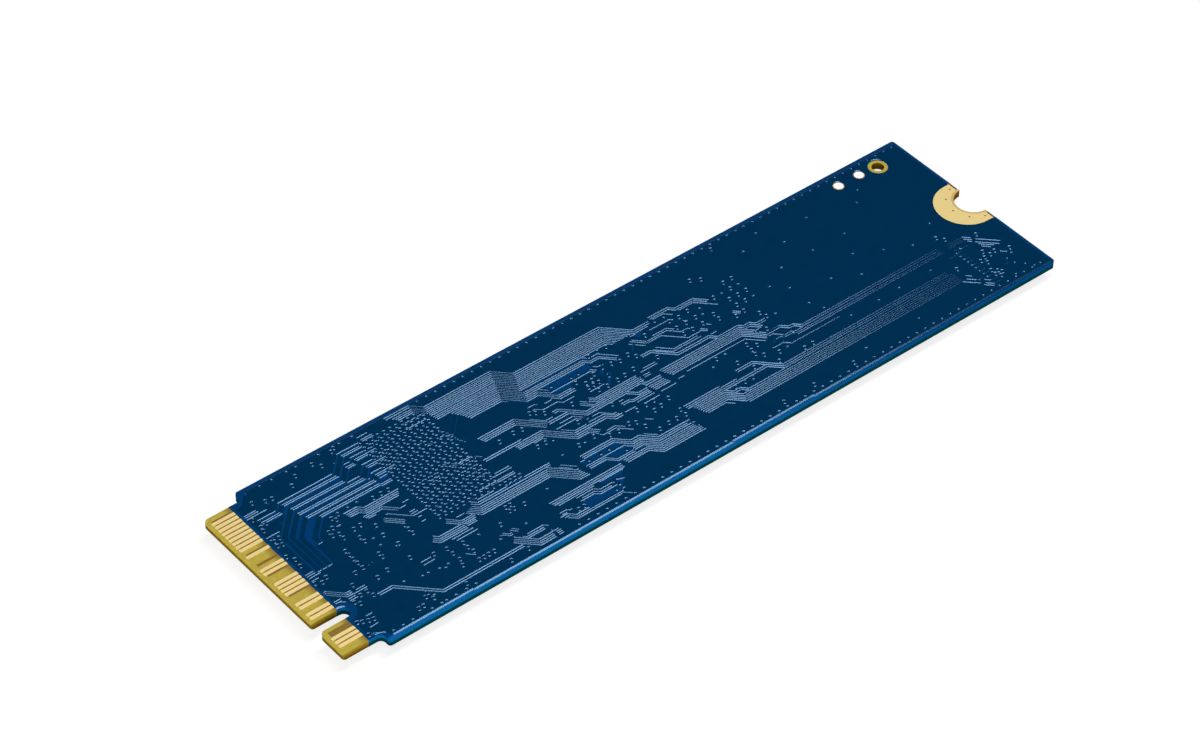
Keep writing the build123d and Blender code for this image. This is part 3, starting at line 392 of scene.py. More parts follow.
# Ends of the vias on the chip side, as levels and radii, and the pieces that may cover them
VIA_END_RISE = 0.02
VIA_TIP_R = 0.13
VIA_FOOT_R = 0.19
VIA_SECTION = ((CHIP_FACE - VIA_END_RISE, VIA_TIP_R), (CHIP_FACE, VIA_FOOT_R))
VIA_ROOM = 0.35
COVERED_BY = (
    "flash_package_1", "flash_package_2", "controller", "power_manager_lands", "power_manager",
    "load_switch_lands", "load_switch", "inductors", "crystal_base", "coupling_capacitor_ends",
    "decoupling_capacitor_ends", "bulk_capacitor_ends", "resistor_ends", "probe_lands", "chip_side_screw_pad",
    "chip_side_contacts",
)

# Softened edges of the moulded and ceramic pieces, with their widths
SOFT_SEGMENTS = 2
SOFT_EDGES = (
    ("flash_package_1", 0.06), ("flash_package_2", 0.06), ("controller", 0.06), ("power_manager", 0.05),
    ("load_switch", 0.04), ("inductors", 0.06), ("crystal_base", 0.05), ("crystal_lid", 0.04),
    ("coupling_capacitors", 0.02), ("coupling_capacitor_ends", 0.03), ("decoupling_capacitors", 0.03),
    ("decoupling_capacitor_ends", 0.05), ("bulk_capacitors", 0.05), ("bulk_capacitor_ends", 0.08),
    ("resistors", 0.02), ("resistor_ends", 0.04),
)


def spot(x, y, z):
    """Point of the frame, in metres, at a place on the board."""
    return Vector(((x + TONGUE_END) * MM, y * MM, z * MM))


def side_step(path, away):
    """Path moved sideways to its right."""
    units = []
    for a, b in zip(path, path[1:]):
        size = hypot(b[0] - a[0], b[1] - a[1])
        units.append(((b[0] - a[0]) / size, (b[1] - a[1]) / size))
    moved = []
    for n, (x, y) in enumerate(path):
        before = units[max(n - 1, 0)]
        after = units[min(n, len(units) - 1)]
        reach = away / (1 + before[0] * after[0] + before[1] * after[1])
        moved.append((x + reach * (before[1] + after[1]), y - reach * (before[0] + after[0])))
    return moved


def ring(x, y, radius, sides):
    """Points round a circle, with the middle of a side straight ahead along x."""
    turns = [2 * pi * (n + 0.5) / sides for n in range(sides)]
    return [(x + radius * cos(turn), y + radius * sin(turn)) for turn in turns]


def box_outline(x_low, x_high, y_low, y_high):
    """Corners of an upright box seen from above."""
    return [(x_low, y_low), (x_high, y_low), (x_high, y_high), (x_low, y_high)]


def eye_places():
    """Places of all vias with a cleared ring."""
    return list(EYES) + [(x, y) for x in GRID_COLUMNS for y in GRID_ROWS]


def dot_places():
    """Places of all vias that the mask covers."""
    glints = list(DOTS + PROBE_DOTS) + [(x, y) for y, row in EDGE_DOTS for x in row]
    return [(x, y - DOT_GLINT) for x, y in glints]


def slot_bead(radius):
    """Path along the far side of the key slot and round its end."""
    turns = [radians(turn) for turn in SLOT_BEAD_TURNS]
    arc = [(SLOT_END[0] + radius * cos(turn), SLOT_END[1] + radius * sin(turn)) for turn in turns]
    return [(SLOT_BEAD_START, SLOT_END[1] + radius)] + arc


def bead_section(share):
    """Section of a bead with that share of the full height: steps away from its far side, and levels."""
    low = MASK_TOP - FOOT_SINK
    high = low + share * (PLANE_TOP - TOP_SINK - low)
    return ((0, low), (BEAD_TOP + share * WALL_RUN, low), (BEAD_TOP, high), (0, high))


def relief_cutters():
    """Outlines of the bare patches, grooves, via rings and covered vias to take out of the ground plane."""
    outlines = [list(outline) for outline in PATCHES]
    for y, start, end in DASHES + PROBE_DASHES:
        outlines.append(box_outline(start, end, y - GROOVE_NEAR, y - GROOVE_FAR))
    for path, count in ROUTES:
        for n in range(count):
            far = side_step(path, n * GROOVE_PITCH + GROOVE_FAR)
            near = side_step(path, n * GROOVE_PITCH + GROOVE_NEAR)
            outlines.append(near + far[::-1])
    outlines += [ring(x, y, EYE_CLEAR_R, ROUND_SIDES) for x, y in eye_places()]
    outlines += [ring(x, y, DOT_R, DOT_SIDES) for x, y in dot_places()]
    return outlines


def add_prism(mesh, outline, low, high):
    """Add an upright closed prism to the mesh; the outline runs to the left round the prism."""
    bottom = [mesh.verts.new(spot(x, y, low)) for x, y in outline]
    top = [mesh.verts.new(spot(x, y, high)) for x, y in outline]
    mesh.faces.new(bottom[::-1])
    mesh.faces.new(top)
    for n in range(len(outline)):
        m = (n + 1) % len(outline)
        mesh.faces.new((bottom[n], bottom[m], top[m], top[n]))


def add_sweep(mesh, path, section):
    """Add a closed bar along a path; its section is steps to the right of the path, and levels."""
    rows = []
    for away, level in section:
        rows.append([mesh.verts.new(spot(x, y, level)) for x, y in side_step(path, away)])
    for n in range(len(rows)):
        m = (n + 1) % len(rows)
        for k in range(len(path) - 1):
            mesh.faces.new((rows[n][k], rows[n][k + 1], rows[m][k + 1], rows[m][k]))
    mesh.faces.new([row[0] for row in rows])
    mesh.faces.new([row[-1] for row in reversed(rows)])
    bmesh.ops.recalc_face_normals(mesh, faces=mesh.faces)


def add_round(mesh, x, y, section, sides):
    """Add a closed round body on an upright axis; its section is levels, from low to high, and radii."""
    rows = []
    for level, radius in section:
        rows.append([mesh.verts.new(spot(*place, level)) for place in ring(x, y, radius, sides)])
    mesh.faces.new(rows[0][::-1])
    mesh.faces.new(rows[-1])
    for under, over in zip(rows, rows[1:]):
        for n in range(sides):
            m = (n + 1) % sides
            mesh.faces.new((under[n], under[m], over[m], over[n]))


def add_fillet(mesh, low, high, body):
    """Add the solder that climbs the outer face of an end terminal, as a hollow wedge against the board."""
    way = (low + high) / 2 - body
    n = 0 if abs(way.x) > abs(way.y) else 1
    m = 1 - n
    face = high[n] if way[n] > 0 else low[n]
    out = (FILLET_REACH if way[n] > 0 else -FILLET_REACH) * MM
    top = high.z - FILLET_CLIMB * (high.z - low.z)
    hollow = (face + HOLLOW_OUT * out, high.z + HOLLOW_UP * (top - high.z))
    profile = ((face, high.z), (face + out, high.z), hollow, (face, top))
    ends = []
    for side in (low[m], high[m]):
        corners = []
        for place, level in profile:
            point = Vector((0, 0, level))
            point[n] = place
            point[m] = side
            corners.append(mesh.verts.new(point))
        ends.append(corners)
    faces = [ends[0], ends[1][::-1]]
    for k in range(len(profile)):
        j = (k + 1) % len(profile)
        faces.append((ends[0][k], ends[1][k], ends[1][j], ends[0][j]))
    for corners in faces:
        mesh.faces.new(corners)


def object_of(mesh, name):
    """New object in the scene from a bmesh."""
    data = bpy.data.meshes.new(name)
    mesh.to_mesh(data)
    mesh.free()
    piece = bpy.data.objects.new(name, data)
    bpy.context.scene.collection.objects.link(piece)
    return piece


def node_mesh(node):
    """Copy of a CAD node's mesh with its split corners joined."""
    mesh = bmesh.new()
    mesh.from_mesh(frame["nodes"][node].data)
    mesh.transform(frame["nodes"][node].matrix_world)
    bmesh.ops.remove_doubles(mesh, verts=mesh.verts, dist=JOIN_WITHIN)
    return mesh


def islands(node):
    """Low and high corners of each separate solid of a CAD node, in metres."""
    mesh = node_mesh(node)
    left = set(mesh.verts)
    boxes = []
    while left:
        found = {left.pop()}
        edge = list(found)
        while edge:
            fresh = [e.other_vert(v) for v in edge for e in v.link_edges]
            edge = [v for v in set(fresh) if v not in found]
            found.update(edge)
        left -= found
        places = [v.co for v in found]
        low = Vector([min(p[n] for p in places) for n in range(3)])
        high = Vector([max(p[n] for p in places) for n in range(3)])
        boxes.append((low, high))
    mesh.free()
    return sorted(boxes, key=lambda box: tuple(box[0]))


def clear_of(boxes, x, y, room):
    """Whether a place on the board has that much room to each of the boxes."""
    place = spot(x, y, 0)
    room *= MM
    for low, high in boxes:
        if low.x - room < place.x < high.x + room and low.y - room < place.y < high.y + room:
            return False
    return True


def foot_step(normals):
    """Step that takes a foot one unit away from each of its walls, as nearly as one step can."""
    xx = sum(n.x * n.x for n in normals)
    xy = sum(n.x * n.y for n in normals)
    yy = sum(n.y * n.y for n in normals)
    total = sum(normals, Vector())
    spread = xx * yy - xy * xy
    if spread < LEAST_SPREAD:
        return normals[0]
    step = Vector((yy * total.x - xy * total.y, xx * total.y - xy * total.x, 0)) / spread
    return step * min(1, LONGEST_STEP / step.length) if step.length else step


def slope_walls(mesh, run):
    """Move each upright wall outwards towards its foot, so that it slopes as mask does over copper."""
    foot = min(v.co.z for v in mesh.verts)
    top = max(v.co.z for v in mesh.verts)
    shifts = {}
    for v in mesh.verts:
        if v.co.z > top - TOP_WITHIN:
            continue
        normals = []
        for face in v.link_faces:
            upright = abs(face.normal.z) < UPRIGHT_BELOW
            if upright and all(face.normal.dot(n) < SAME_WAY_FROM for n in normals):
                normals.append(face.normal.copy())
        if normals:
            share = (top - v.co.z) / (top - foot)
            shifts[v] = (foot_step(normals) * run - Vector((0, 0, FOOT_SINK))) * share
    for v, shift in shifts.items():
        v.co += shift * MM


def cut_out(piece, outlines):
    """What is left of a flat piece when upright prisms are taken out of it, as a bmesh."""
    cutters = bpy.data.collections.new("cutters")
    for outline in outlines:
        prism = bmesh.new()
        add_prism(prism, outline, MASK_TOP - CUT_BEYOND, PLANE_TOP + CUT_BEYOND)
        cutters.objects.link(object_of(prism, "cutter"))
    cut = piece.modifiers.new("cut", "BOOLEAN")
    cut.operation = "DIFFERENCE"
    cut.solver = "MANIFOLD"
    cut.operand_type = "COLLECTION"
    cut.collection = cutters
    left = bmesh.new()
    left.from_object(piece, bpy.context.evaluated_depsgraph_get())
    for cutter in list(cutters.objects):
        bpy.data.objects.remove(cutter)
    bpy.data.collections.remove(cutters)
    bpy.data.objects.remove(piece)
    return left


def placed(piece, slot, *nodes):
    """Fix a new piece to the drive and hide the CAD nodes it stands for; the finish it is given is not used.
    """
    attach(piece, "root")
    if nodes:
        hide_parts(*nodes)
    return piece


# Ground plane under the mask, with the fine grooves cut in
relief = cut_out(object_of(node_mesh("masked_ground_plane"), "whole_plane"), relief_cutters())
slope_walls(relief, WALL_RUN)
plane = placed(object_of(relief, "ground_plane_under_mask"), "mask_over_copper", "masked_ground_plane")

# Beads of mask, with a lower one beside that of the near edge
bead = bmesh.new()
for path in [EDGE_BEAD, SHOULDER_BEAD] + [slot_bead(radius) for radius in SLOT_BEADS_R]:
    add_sweep(bead, path, bead_section(1))
add_sweep(bead, side_step(EDGE_BEAD, LOW_BEAD_STEP), bead_section(LOW_BEAD_SHARE))
mask_beads = placed(object_of(bead, "mask_beads"), "mask_over_copper")

# Traces with sloping sides
TRACE_NODES = ("connector_lanes", "flash_buses", "probe_buses")
traces = []
for node in TRACE_NODES:
    mesh = node_mesh(node)
    slope_walls(mesh, WALL_RUN)
    traces.append(placed(object_of(mesh, node + "_under_mask"), "mask_over_copper", node))

# Via pads in their cleared rings
pads = bmesh.new()
for x, y in eye_places():
    add_prism(pads, ring(x, y, EYE_PAD_R, ROUND_SIDES), MASK_TOP, PLANE_TOP - TOP_SINK)
pads.normal_update()
slope_walls(pads, WALL_RUN)
via_pads = placed(object_of(pads, "via_pads_under_mask"), "mask_over_copper")

# Round solder balls
balls = []
for node in BALL_NODES:
    mesh = bmesh.new()
    for low, high in islands(node):
        middle = (low + high) / (2 * MM)
        radius = (high.x - low.x) / (2 * MM)
        foot = radius * BALL_FOOT
        section = ((low.z / MM, foot), (middle.z, radius), (high.z / MM, foot))
        add_round(mesh, middle.x - TONGUE_END, middle.y, section, BALL_SIDES)
    balls.append(placed(object_of(mesh, node + "_round"), "tin", node))

# Solder fillets, each on the side away from the body of its own chip part
fillets = bmesh.new()
for body_node, end_node in CHIP_NODES:
    middles = [(low + high) / 2 for low, high in islands(body_node)]
    for low, high in islands(end_node):
        middle = (low + high) / 2
        add_fillet(fillets, low, high, min(middles, key=lambda place: (place - middle).length))
bmesh.ops.recalc_face_normals(fillets, faces=fillets.faces)
solder = placed(object_of(fillets, "solder_fillets"), "tin")

# Ends of the vias on the chip side, where nothing is mounted over them
covered = [box for node in COVERED_BY for box in islands(node)]
ends = bmesh.new()
for x, y in eye_places() + dot_places():
    if clear_of(covered, x, y, VIA_ROOM):
        add_round(ends, x, y, VIA_SECTION, DOT_SIDES)
via_ends = placed(object_of(ends, "via_ends_of_chip_side"), "mask_over_copper")

# Softened edges
for node, width in SOFT_EDGES:
    weld = frame["nodes"][node].modifiers.new("weld", "WELD")
    weld.merge_threshold = JOIN_WITHIN
    soft = frame["nodes"][node].modifiers.new("soft", "BEVEL")
    soft.width = width * MM
    soft.segments = SOFT_SEGMENTS
    soft.limit_method = "ANGLE"

# Grain: where most of a noise lies, its detail, bump and depth in metres, and its share of roughness
NOISE_ENDS = (0.3, 0.7)
GRAIN_DETAIL = 3
GRAIN_BUMP = 0.1
GRAIN_DEPTH = 4e-6
GRAIN_ROUGHNESS = (0.85, 1.15)

# Level of gloss that the shader has by itself, and the mix node's sockets for colours
USUAL_GLOSS = 0.5
MIX_INPUTS = (6, 7)
MIX_RESULT = 2


def parts_of(material):
    """Node tree and shader of a material."""
    return material.node_tree, material.node_tree.nodes["Principled BSDF"]


def new_material(name, colour, roughness, metallic=0.0):
    """Material with a plain shader, and its node tree and shader."""
    material = bpy.data.materials.new(name)
    material.use_nodes = True
    tree, shader = parts_of(material)
    shader.inputs["Base Color"].default_value = (*colour, 1)
    shader.inputs["Roughness"].default_value = roughness
    shader.inputs["Metallic"].default_value = metallic
    return material, tree, shader


def feeding(shader, name):
    """Output that is linked to a socket of the shader."""
    return shader.inputs[name].links[0].from_socket


def object_place(tree):
    """Output with the place on the object, in metres."""
    return tree.nodes.new("ShaderNodeTexCoord").outputs["Object"]


def board_axes(tree):
    """Outputs with x, y and z on the object, in millimetres of the frame."""
    scale = tree.nodes.new("ShaderNodeVectorMath")
    scale.operation = "SCALE"
    scale.inputs["Scale"].default_value = 1 / MM
    tree.links.new(object_place(tree), scale.inputs[0])
    split = tree.nodes.new("ShaderNodeSeparateXYZ")
    tree.links.new(scale.outputs[0], split.inputs[0])
    return split.outputs["X"], split.outputs["Y"], split.outputs["Z"]


def face_normal(tree):
    """Outputs with the parts along x, y and z of the way that the face looks."""
    split = tree.nodes.new("ShaderNodeSeparateXYZ")
    tree.links.new(tree.nodes.new("ShaderNodeNewGeometry").outputs["True Normal"], split.inputs[0])
    return split.outputs["X"], split.outputs["Y"], split.outputs["Z"]


def math_node(tree, operation, *values):
    """Math node on outputs or plain numbers."""
    node = tree.nodes.new("ShaderNodeMath")
    node.operation = operation
    for n, value in enumerate(values):
        if isinstance(value, (int, float)):
            node.inputs[n].default_value = value
        else:
            tree.links.new(value, node.inputs[n])
    return node.outputs[0]


def joined(tree, operation, values):
    """One output from several, by a math operation on two at a time."""
    result = values[0]
    for value in values[1:]:
        result = math_node(tree, operation, result, value)
    return result


def mixed(tree, factor, first, second):
    """Colour between two colours, which are outputs or plain colours."""
    node = tree.nodes.new("ShaderNodeMix")
    node.data_type = "RGBA"
    tree.links.new(factor, node.inputs[0])
    for slot, value in zip(MIX_INPUTS, (first, second)):
        if isinstance(value, tuple):
            node.inputs[slot].default_value = (*value, 1)
        else:
            tree.links.new(value, node.inputs[slot])
    return node.outputs[MIX_RESULT]


def noise(tree, waves, detail=2.0):
    """Noise over the object, by its waves in a metre."""
    node = tree.nodes.new("ShaderNodeTexNoise")
    node.inputs["Scale"].default_value = waves
    node.inputs["Detail"].default_value = detail
    tree.links.new(object_place(tree), node.inputs["Vector"])
    return node.outputs["Fac"]


def ramp(tree, value, places, colours):
    """Colour from the first of two to the second, as the value goes between two places."""
    node = tree.nodes.new("ShaderNodeValToRGB")
    for element, place, colour in zip(node.color_ramp.elements, places, colours):
        element.position = place
        element.color = (*colour, 1)
    tree.links.new(value, node.inputs["Fac"])
    return node.outputs["Color"]


def toned(tree, value, colour, tones, places=NOISE_ENDS):
    """Colour from its darker tone to its lighter one, as the value goes between two places."""
    return ramp(tree, value, places, [tuple(c * tone for c in colour) for tone in tones])


def between(tree, value, low, high):
    """The value, which runs from 0 to 1, spread from low to high."""
    node = tree.nodes.new("ShaderNodeMapRange")
    node.inputs["To Min"].default_value = low
    node.inputs["To Max"].default_value = high
    tree.links.new(value, node.inputs["Value"])
    return node.outputs["Result"]


def ramp_up(tree, value, start, end):
    """0 up to start, 1 from end, straight between."""
    node = tree.nodes.new("ShaderNodeMapRange")
    node.inputs["From Min"].default_value = start
    node.inputs["From Max"].default_value = end
    tree.links.new(value, node.inputs["Value"])
    return node.outputs["Result"]


def rise_along(tree, x, ends):
    """0 up to the first of two places along the board, 1 from the second, straight between."""
    return ramp_up(tree, x, TONGUE_END + ends[0], TONGUE_END + ends[1])


def within(tree, x, ends):
    """1 between two places along the board, and 0 elsewhere."""
    return math_node(tree, "COMPARE", x, TONGUE_END + sum(ends) / 2, (ends[1] - ends[0]) / 2)


def far_from(tree, value, limit):
    """1 where a value is more than the limit to either side of 0."""
    return math_node(tree, "GREATER_THAN", math_node(tree, "ABSOLUTE", value), limit)


def near_to(tree, value, limit):
    """1 where a value is less than the limit to either side of 0."""
    return math_node(tree, "LESS_THAN", math_node(tree, "ABSOLUTE", value), limit)


def dulled(tree, where):
    """Level of gloss: none where the value is 1, and the usual one where it is 0."""
    return math_node(tree, "SUBTRACT", USUAL_GLOSS, math_node(tree, "MULTIPLY", where, USUAL_GLOSS))


def roughen(tree, shader, height, strength, distance):
    """Fine bump from a height."""
    node = tree.nodes.new("ShaderNodeBump")
    node.inputs["Strength"].default_value = strength
    node.inputs["Distance"].default_value = distance
    tree.links.new(height, node.inputs["Height"])
    tree.links.new(node.outputs["Normal"], shader.inputs["Normal"])


def grained(name, colour, roughness, metallic=0.0, waves=6000, spread=0.12, bump=GRAIN_BUMP):
    """Material whose colour, roughness and surface vary with a fine grain."""
    material, tree, shader = new_material(name, colour, roughness, metallic)
    grain = noise(tree, waves, GRAIN_DETAIL)
    tree.links.new(toned(tree, grain, colour, (1 - spread, 1 + spread)), shader.inputs["Base Color"])
    smooth, rough = GRAIN_ROUGHNESS
    tree.links.new(between(tree, grain, roughness * smooth, roughness * rough), shader.inputs["Roughness"])
    roughen(tree, shader, grain, bump, GRAIN_DEPTH)
    return material


# Mask: its clouds and its finer waves, and the tilt from which a wall is dull
MASK_ROUGHNESS = (0.13, 0.19)
CLOUD_WAVES = 900
CLOUD_ENDS = (0.25, 0.75)
CLOUD_TONES = (0.94, 1.06)
SPRAY_WAVES = 5000
SPRAY_BUMP = 0.02
SPRAY_DEPTH = 2e-6
DULL_TILT = 0.3


def masked(name, colour):
    """Sprayed blue mask, glossy but for upright faces and walls that look towards the mount end."""
    material, tree, shader = new_material(name, colour, sum(MASK_ROUGHNESS) / 2)
    cloud = noise(tree, CLOUD_WAVES, GRAIN_DETAIL)
    tree.links.new(toned(tree, cloud, colour, CLOUD_TONES, CLOUD_ENDS), shader.inputs["Base Color"])
    tree.links.new(between(tree, cloud, *MASK_ROUGHNESS), shader.inputs["Roughness"])
    shader.inputs["Specular Tint"].default_value = (*MASK_GLINT, 1)
    along, _, up = face_normal(tree)
    upright = near_to(tree, up, DULL_TILT)
    dull = math_node(tree, "MAXIMUM", upright, math_node(tree, "GREATER_THAN", along, DULL_TILT))
    tree.links.new(dulled(tree, dull), shader.inputs["Specular IOR Level"])
    roughen(tree, shader, noise(tree, SPRAY_WAVES), SPRAY_BUMP, SPRAY_DEPTH)
    return material


def copper_mask_material():
    """Mask over copper."""
    return masked("mask_on_copper", COPPER_BLUE)


def border_material():
    """Mask on bare laminate, with a painted highlight on the border along the near edge that is brighter
    towards the tongue.
    """
    material = masked("mask_on_laminate", BARE_BLUE)
    tree, shader = parts_of(material)
    x, y, _ = board_axes(tree)
    # painted highlight along the near border, fading along the board
    near = ramp_up(tree, y, *NEAR_HIGHLIGHT_Y)
    bright = math_node(tree, "MULTIPLY", near, rise_along(tree, x, HIGHLIGHT_FADE_X[::-1]))
    colour = mixed(tree, bright, feeding(shader, "Base Color"), BORDER_HIGHLIGHT_BLUE)
    tree.links.new(colour, shader.inputs["Base Color"])
    return material


def chip_side_material():
    """Mask over the copper of the chip side, with a border of bare laminate along the long edges."""
    material = masked("mask_of_chip_side", COPPER_BLUE)
    tree, shader = parts_of(material)
    border = far_from(tree, board_axes(tree)[1], BORDER_FROM)
    colour = mixed(tree, border, feeding(shader, "Base Color"), BARE_BLUE)
    tree.links.new(colour, shader.inputs["Base Color"])
    return material


# Laminate: its gloss and its weave
LAMINATE_ROUGHNESS = 0.45
WEAVE_WAVES = 2500
WEAVE_DETAIL = 4
WEAVE_TONES = (0.9, 1.08)
WEAVE_BUMP = 0.08
WEAVE_DEPTH = 6e-6


def laminate_faces(tree, x, y, grain):
    """Colour of the faces: olive, but brown over buried contacts and at the mask, tan at the notch, and dark
    brown painted shade in the via holes round it.
    """
    colour = toned(tree, grain, OLIVE, WEAVE_TONES)
    strips = [math_node(tree, "COMPARE", y, place, BURIED_HALF) for place in BURIED_Y]
    buried = math_node(tree, "MULTIPLY", joined(tree, "MAXIMUM", strips), within(tree, x, BURIED_X))
    colour = mixed(tree, buried, colour, BURIED_BROWN)
    behind = rise_along(tree, x, BEHIND_TONGUE_X)
    shade = math_node(tree, "MULTIPLY", rise_along(tree, x, ROOT_SHADE_X), ROOT_SHADE)
    shade = math_node(tree, "SUBTRACT", shade, behind)
    shade.node.use_clamp = True
    colour = mixed(tree, shade, colour, BURIED_BROWN)
    colour = mixed(tree, behind, colour, TOOLING_OLIVE)
    along = math_node(tree, "SUBTRACT", x, NOTCH_AT + TONGUE_END)
    away = math_node(tree, "MULTIPLY_ADD", y, y, math_node(tree, "MULTIPLY", along, along))
    away = math_node(tree, "SQRT", away)
    # painted shade in the via holes of the pad round the notch
    colour = mixed(tree, math_node(tree, "LESS_THAN", away, NOTCH_PAD_R), colour, VIA_HOLE_SHADE)
    return mixed(tree, math_node(tree, "LESS_THAN", away, NOTCH_LIP_R), colour, NOTCH_TAN)


def laminate_level(share):
    """Level at a share of the laminate's thickness."""
    return LAMINATE_LOW + share * (LAMINATE_HIGH - LAMINATE_LOW)


def laminate_sides(tree, x, y, z):
    """Colour of the sides: mask stains round the board with a painted highlight at the top that fades along
    the board and painted shade below; where the tongue and holes are cut, olive with painted shade at the
    bottom and on the walls of the holes and notch.
    """
    mount_end = math_node(tree, "GREATER_THAN", x, -TONGUE_END - END_BAND)
    stain_light_shade_sides = joined(
        tree, "MAXIMUM", [far_from(tree, y, LONG_SIDE_FROM), mount_end, within(tree, x, ROOT_X)],
    )
    # painted highlight at the top of the sides, and painted shade below it
    blue = mixed(tree, rise_along(tree, x, HIGHLIGHT_FADE_X), SIDE_HIGHLIGHT_BLUE, SIDE_FAINT_HIGHLIGHT_BLUE)
    stain_light_shade = mixed(tree, ramp_up(tree, z, *map(laminate_level, SHADE_TO_HIGHLIGHT_SHARES)), SIDE_SHADE_GREEN, blue)
    # painted shade at the bottom of the cut sides and on the walls of the holes and notch
    cut = mixed(tree, ramp_up(tree, z, *map(laminate_level, CUT_SHARES)), CUT_SHADE_BROWN, CUT_OLIVE)
    cut = mixed(tree, rise_along(tree, x, BEHIND_TONGUE_X), cut, HOLE_SHADE_BROWN)
    return mixed(tree, stain_light_shade_sides, cut, stain_light_shade)


def laminate_material():
    """Glass-epoxy laminate with the grain of its weave, glossy on its faces and dull at its sides."""
    material, tree, shader = new_material("glass_epoxy", OLIVE, LAMINATE_ROUGHNESS)
    x, y, z = board_axes(tree)
    grain = noise(tree, WEAVE_WAVES, WEAVE_DETAIL)
    upright = near_to(tree, face_normal(tree)[2], UPRIGHT_BELOW)
    colour = mixed(tree, upright, laminate_faces(tree, x, y, grain), laminate_sides(tree, x, y, z))
    tree.links.new(colour, shader.inputs["Base Color"])
    tree.links.new(dulled(tree, upright), shader.inputs["Specular IOR Level"])
    roughen(tree, shader, grain, WEAVE_BUMP, WEAVE_DEPTH)
    return material


# Round pads and package marks
ROUND_PAD_ROUGHNESS = 0.5
ROUND_PAD_WAVES = 4000
MARK_SMOOTHER = 0.25


def round_pad_material():
    """Bright tin that thins to copper at the rim of each round pad."""
    material, tree, shader = new_material("tinned_round_pad", PAD_TIN, ROUND_PAD_ROUGHNESS)
    distances = []
    for x, y in ROUND_PADS:
        away = tree.nodes.new("ShaderNodeVectorMath")
        away.operation = "DISTANCE"
        tree.links.new(object_place(tree), away.inputs[0])
        away.inputs[1].default_value = spot(x, y, LAMINATE_HIGH)
        distances.append(away.outputs["Value"])
    start, end = [(ROUND_PAD_R - depth) * MM for depth in ROUND_PAD_RIM]
    rim = ramp_up(tree, joined(tree, "MINIMUM", distances), start, end)
    grain = noise(tree, ROUND_PAD_WAVES, GRAIN_DETAIL)
    tin = ramp(tree, grain, NOISE_ENDS, (PAD_DULL, PAD_BRIGHT))
    tree.links.new(mixed(tree, rim, tin, PAD_COPPER), shader.inputs["Base Color"])
    roughen(tree, shader, grain, GRAIN_BUMP, GRAIN_DEPTH)
    return material


def mould_material():
    """Black moulding compound with a smoother round mark at the first contact of each package."""
    material = grained("black_moulding", MOULD_BLACK, roughness=0.55, waves=20000, spread=0.3, bump=0.3)
    tree, shader = parts_of(material)
    x, y, _ = board_axes(tree)
    marks = []
    for node, inset, radius in FIRST_CONTACTS:
        low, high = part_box(node)
        along = math_node(tree, "SUBTRACT", x, low[0] / MM + inset)
        across = math_node(tree, "SUBTRACT", y, high[1] / MM - inset)
        away = math_node(tree, "MULTIPLY_ADD", across, across, math_node(tree, "MULTIPLY", along, along))
        marks.append(math_node(tree, "LESS_THAN", away, radius * radius))
    mark = joined(tree, "MAXIMUM", marks)
    colour = mixed(tree, mark, feeding(shader, "Base Color"), MARK_GREY)
    smooth = math_node(tree, "MULTIPLY_ADD", mark, -MARK_SMOOTHER, feeding(shader, "Roughness"))
    tree.links.new(colour, shader.inputs["Base Color"])
    tree.links.new(smooth, shader.inputs["Roughness"])
    return material


def gold_material():
    """Gold plating of the contacts and screw pads."""
    return grained("gold_plating", GOLD, roughness=0.5, metallic=0.5, waves=9000, spread=0.05, bump=0.05)


def tin_material():
    """Bright tin of terminals, lands and solder."""
    return grained("bright_tin", TIN, roughness=0.35, metallic=0.9)


def ferrite_material():
    """Moulded powder of the inductors."""
    return grained("moulded_powder", FERRITE_GREY, roughness=0.7, waves=12000, spread=0.3, bump=0.4)


def dark_ceramic_material():
    """Ceramic base of the crystal can."""
    return grained("dark_ceramic", DARK_CERAMIC, roughness=0.5)


def lid_material():
    """Plated metal lid of the crystal can."""
    return grained("plated_lid", LID_GREY, roughness=0.3, metallic=1.0)


def tan_ceramic_material():
    """Ceramic of the capacitors."""
    return grained("tan_ceramic", TAN_CERAMIC, roughness=0.45)


def coat_material():
    """Black coat of the resistors."""
    return grained("black_coat", COAT_BLACK, roughness=0.35)


# Floor: its roughness, and how much of its look is a light of its own
FLOOR_ROUGHNESS = 0.9
FLOOR_GLOW = 0.8


def floor_material():
    """Pale floor that looks partly lit from within, so that it takes only a light shadow."""
    material, tree, shader = new_material("pale_floor", FLOOR_GREY, FLOOR_ROUGHNESS)
    glow = tree.nodes.new("ShaderNodeEmission")
    path = tree.nodes.new("ShaderNodeLightPath")
    rays = ("Is Camera Ray", "Is Glossy Ray", "Is Transmission Ray")
    seen = joined(tree, "MAXIMUM", [path.outputs[ray] for ray in rays])
    mix = tree.nodes.new("ShaderNodeMixShader")
    tree.links.new(math_node(tree, "MULTIPLY", seen, FLOOR_GLOW), mix.inputs[0])
    tree.links.new(shader.outputs["BSDF"], mix.inputs[1])
    tree.links.new(glow.outputs["Emission"], mix.inputs[2])
    tree.links.new(mix.outputs["Shader"], tree.nodes["Material Output"].inputs["Surface"])
    return material


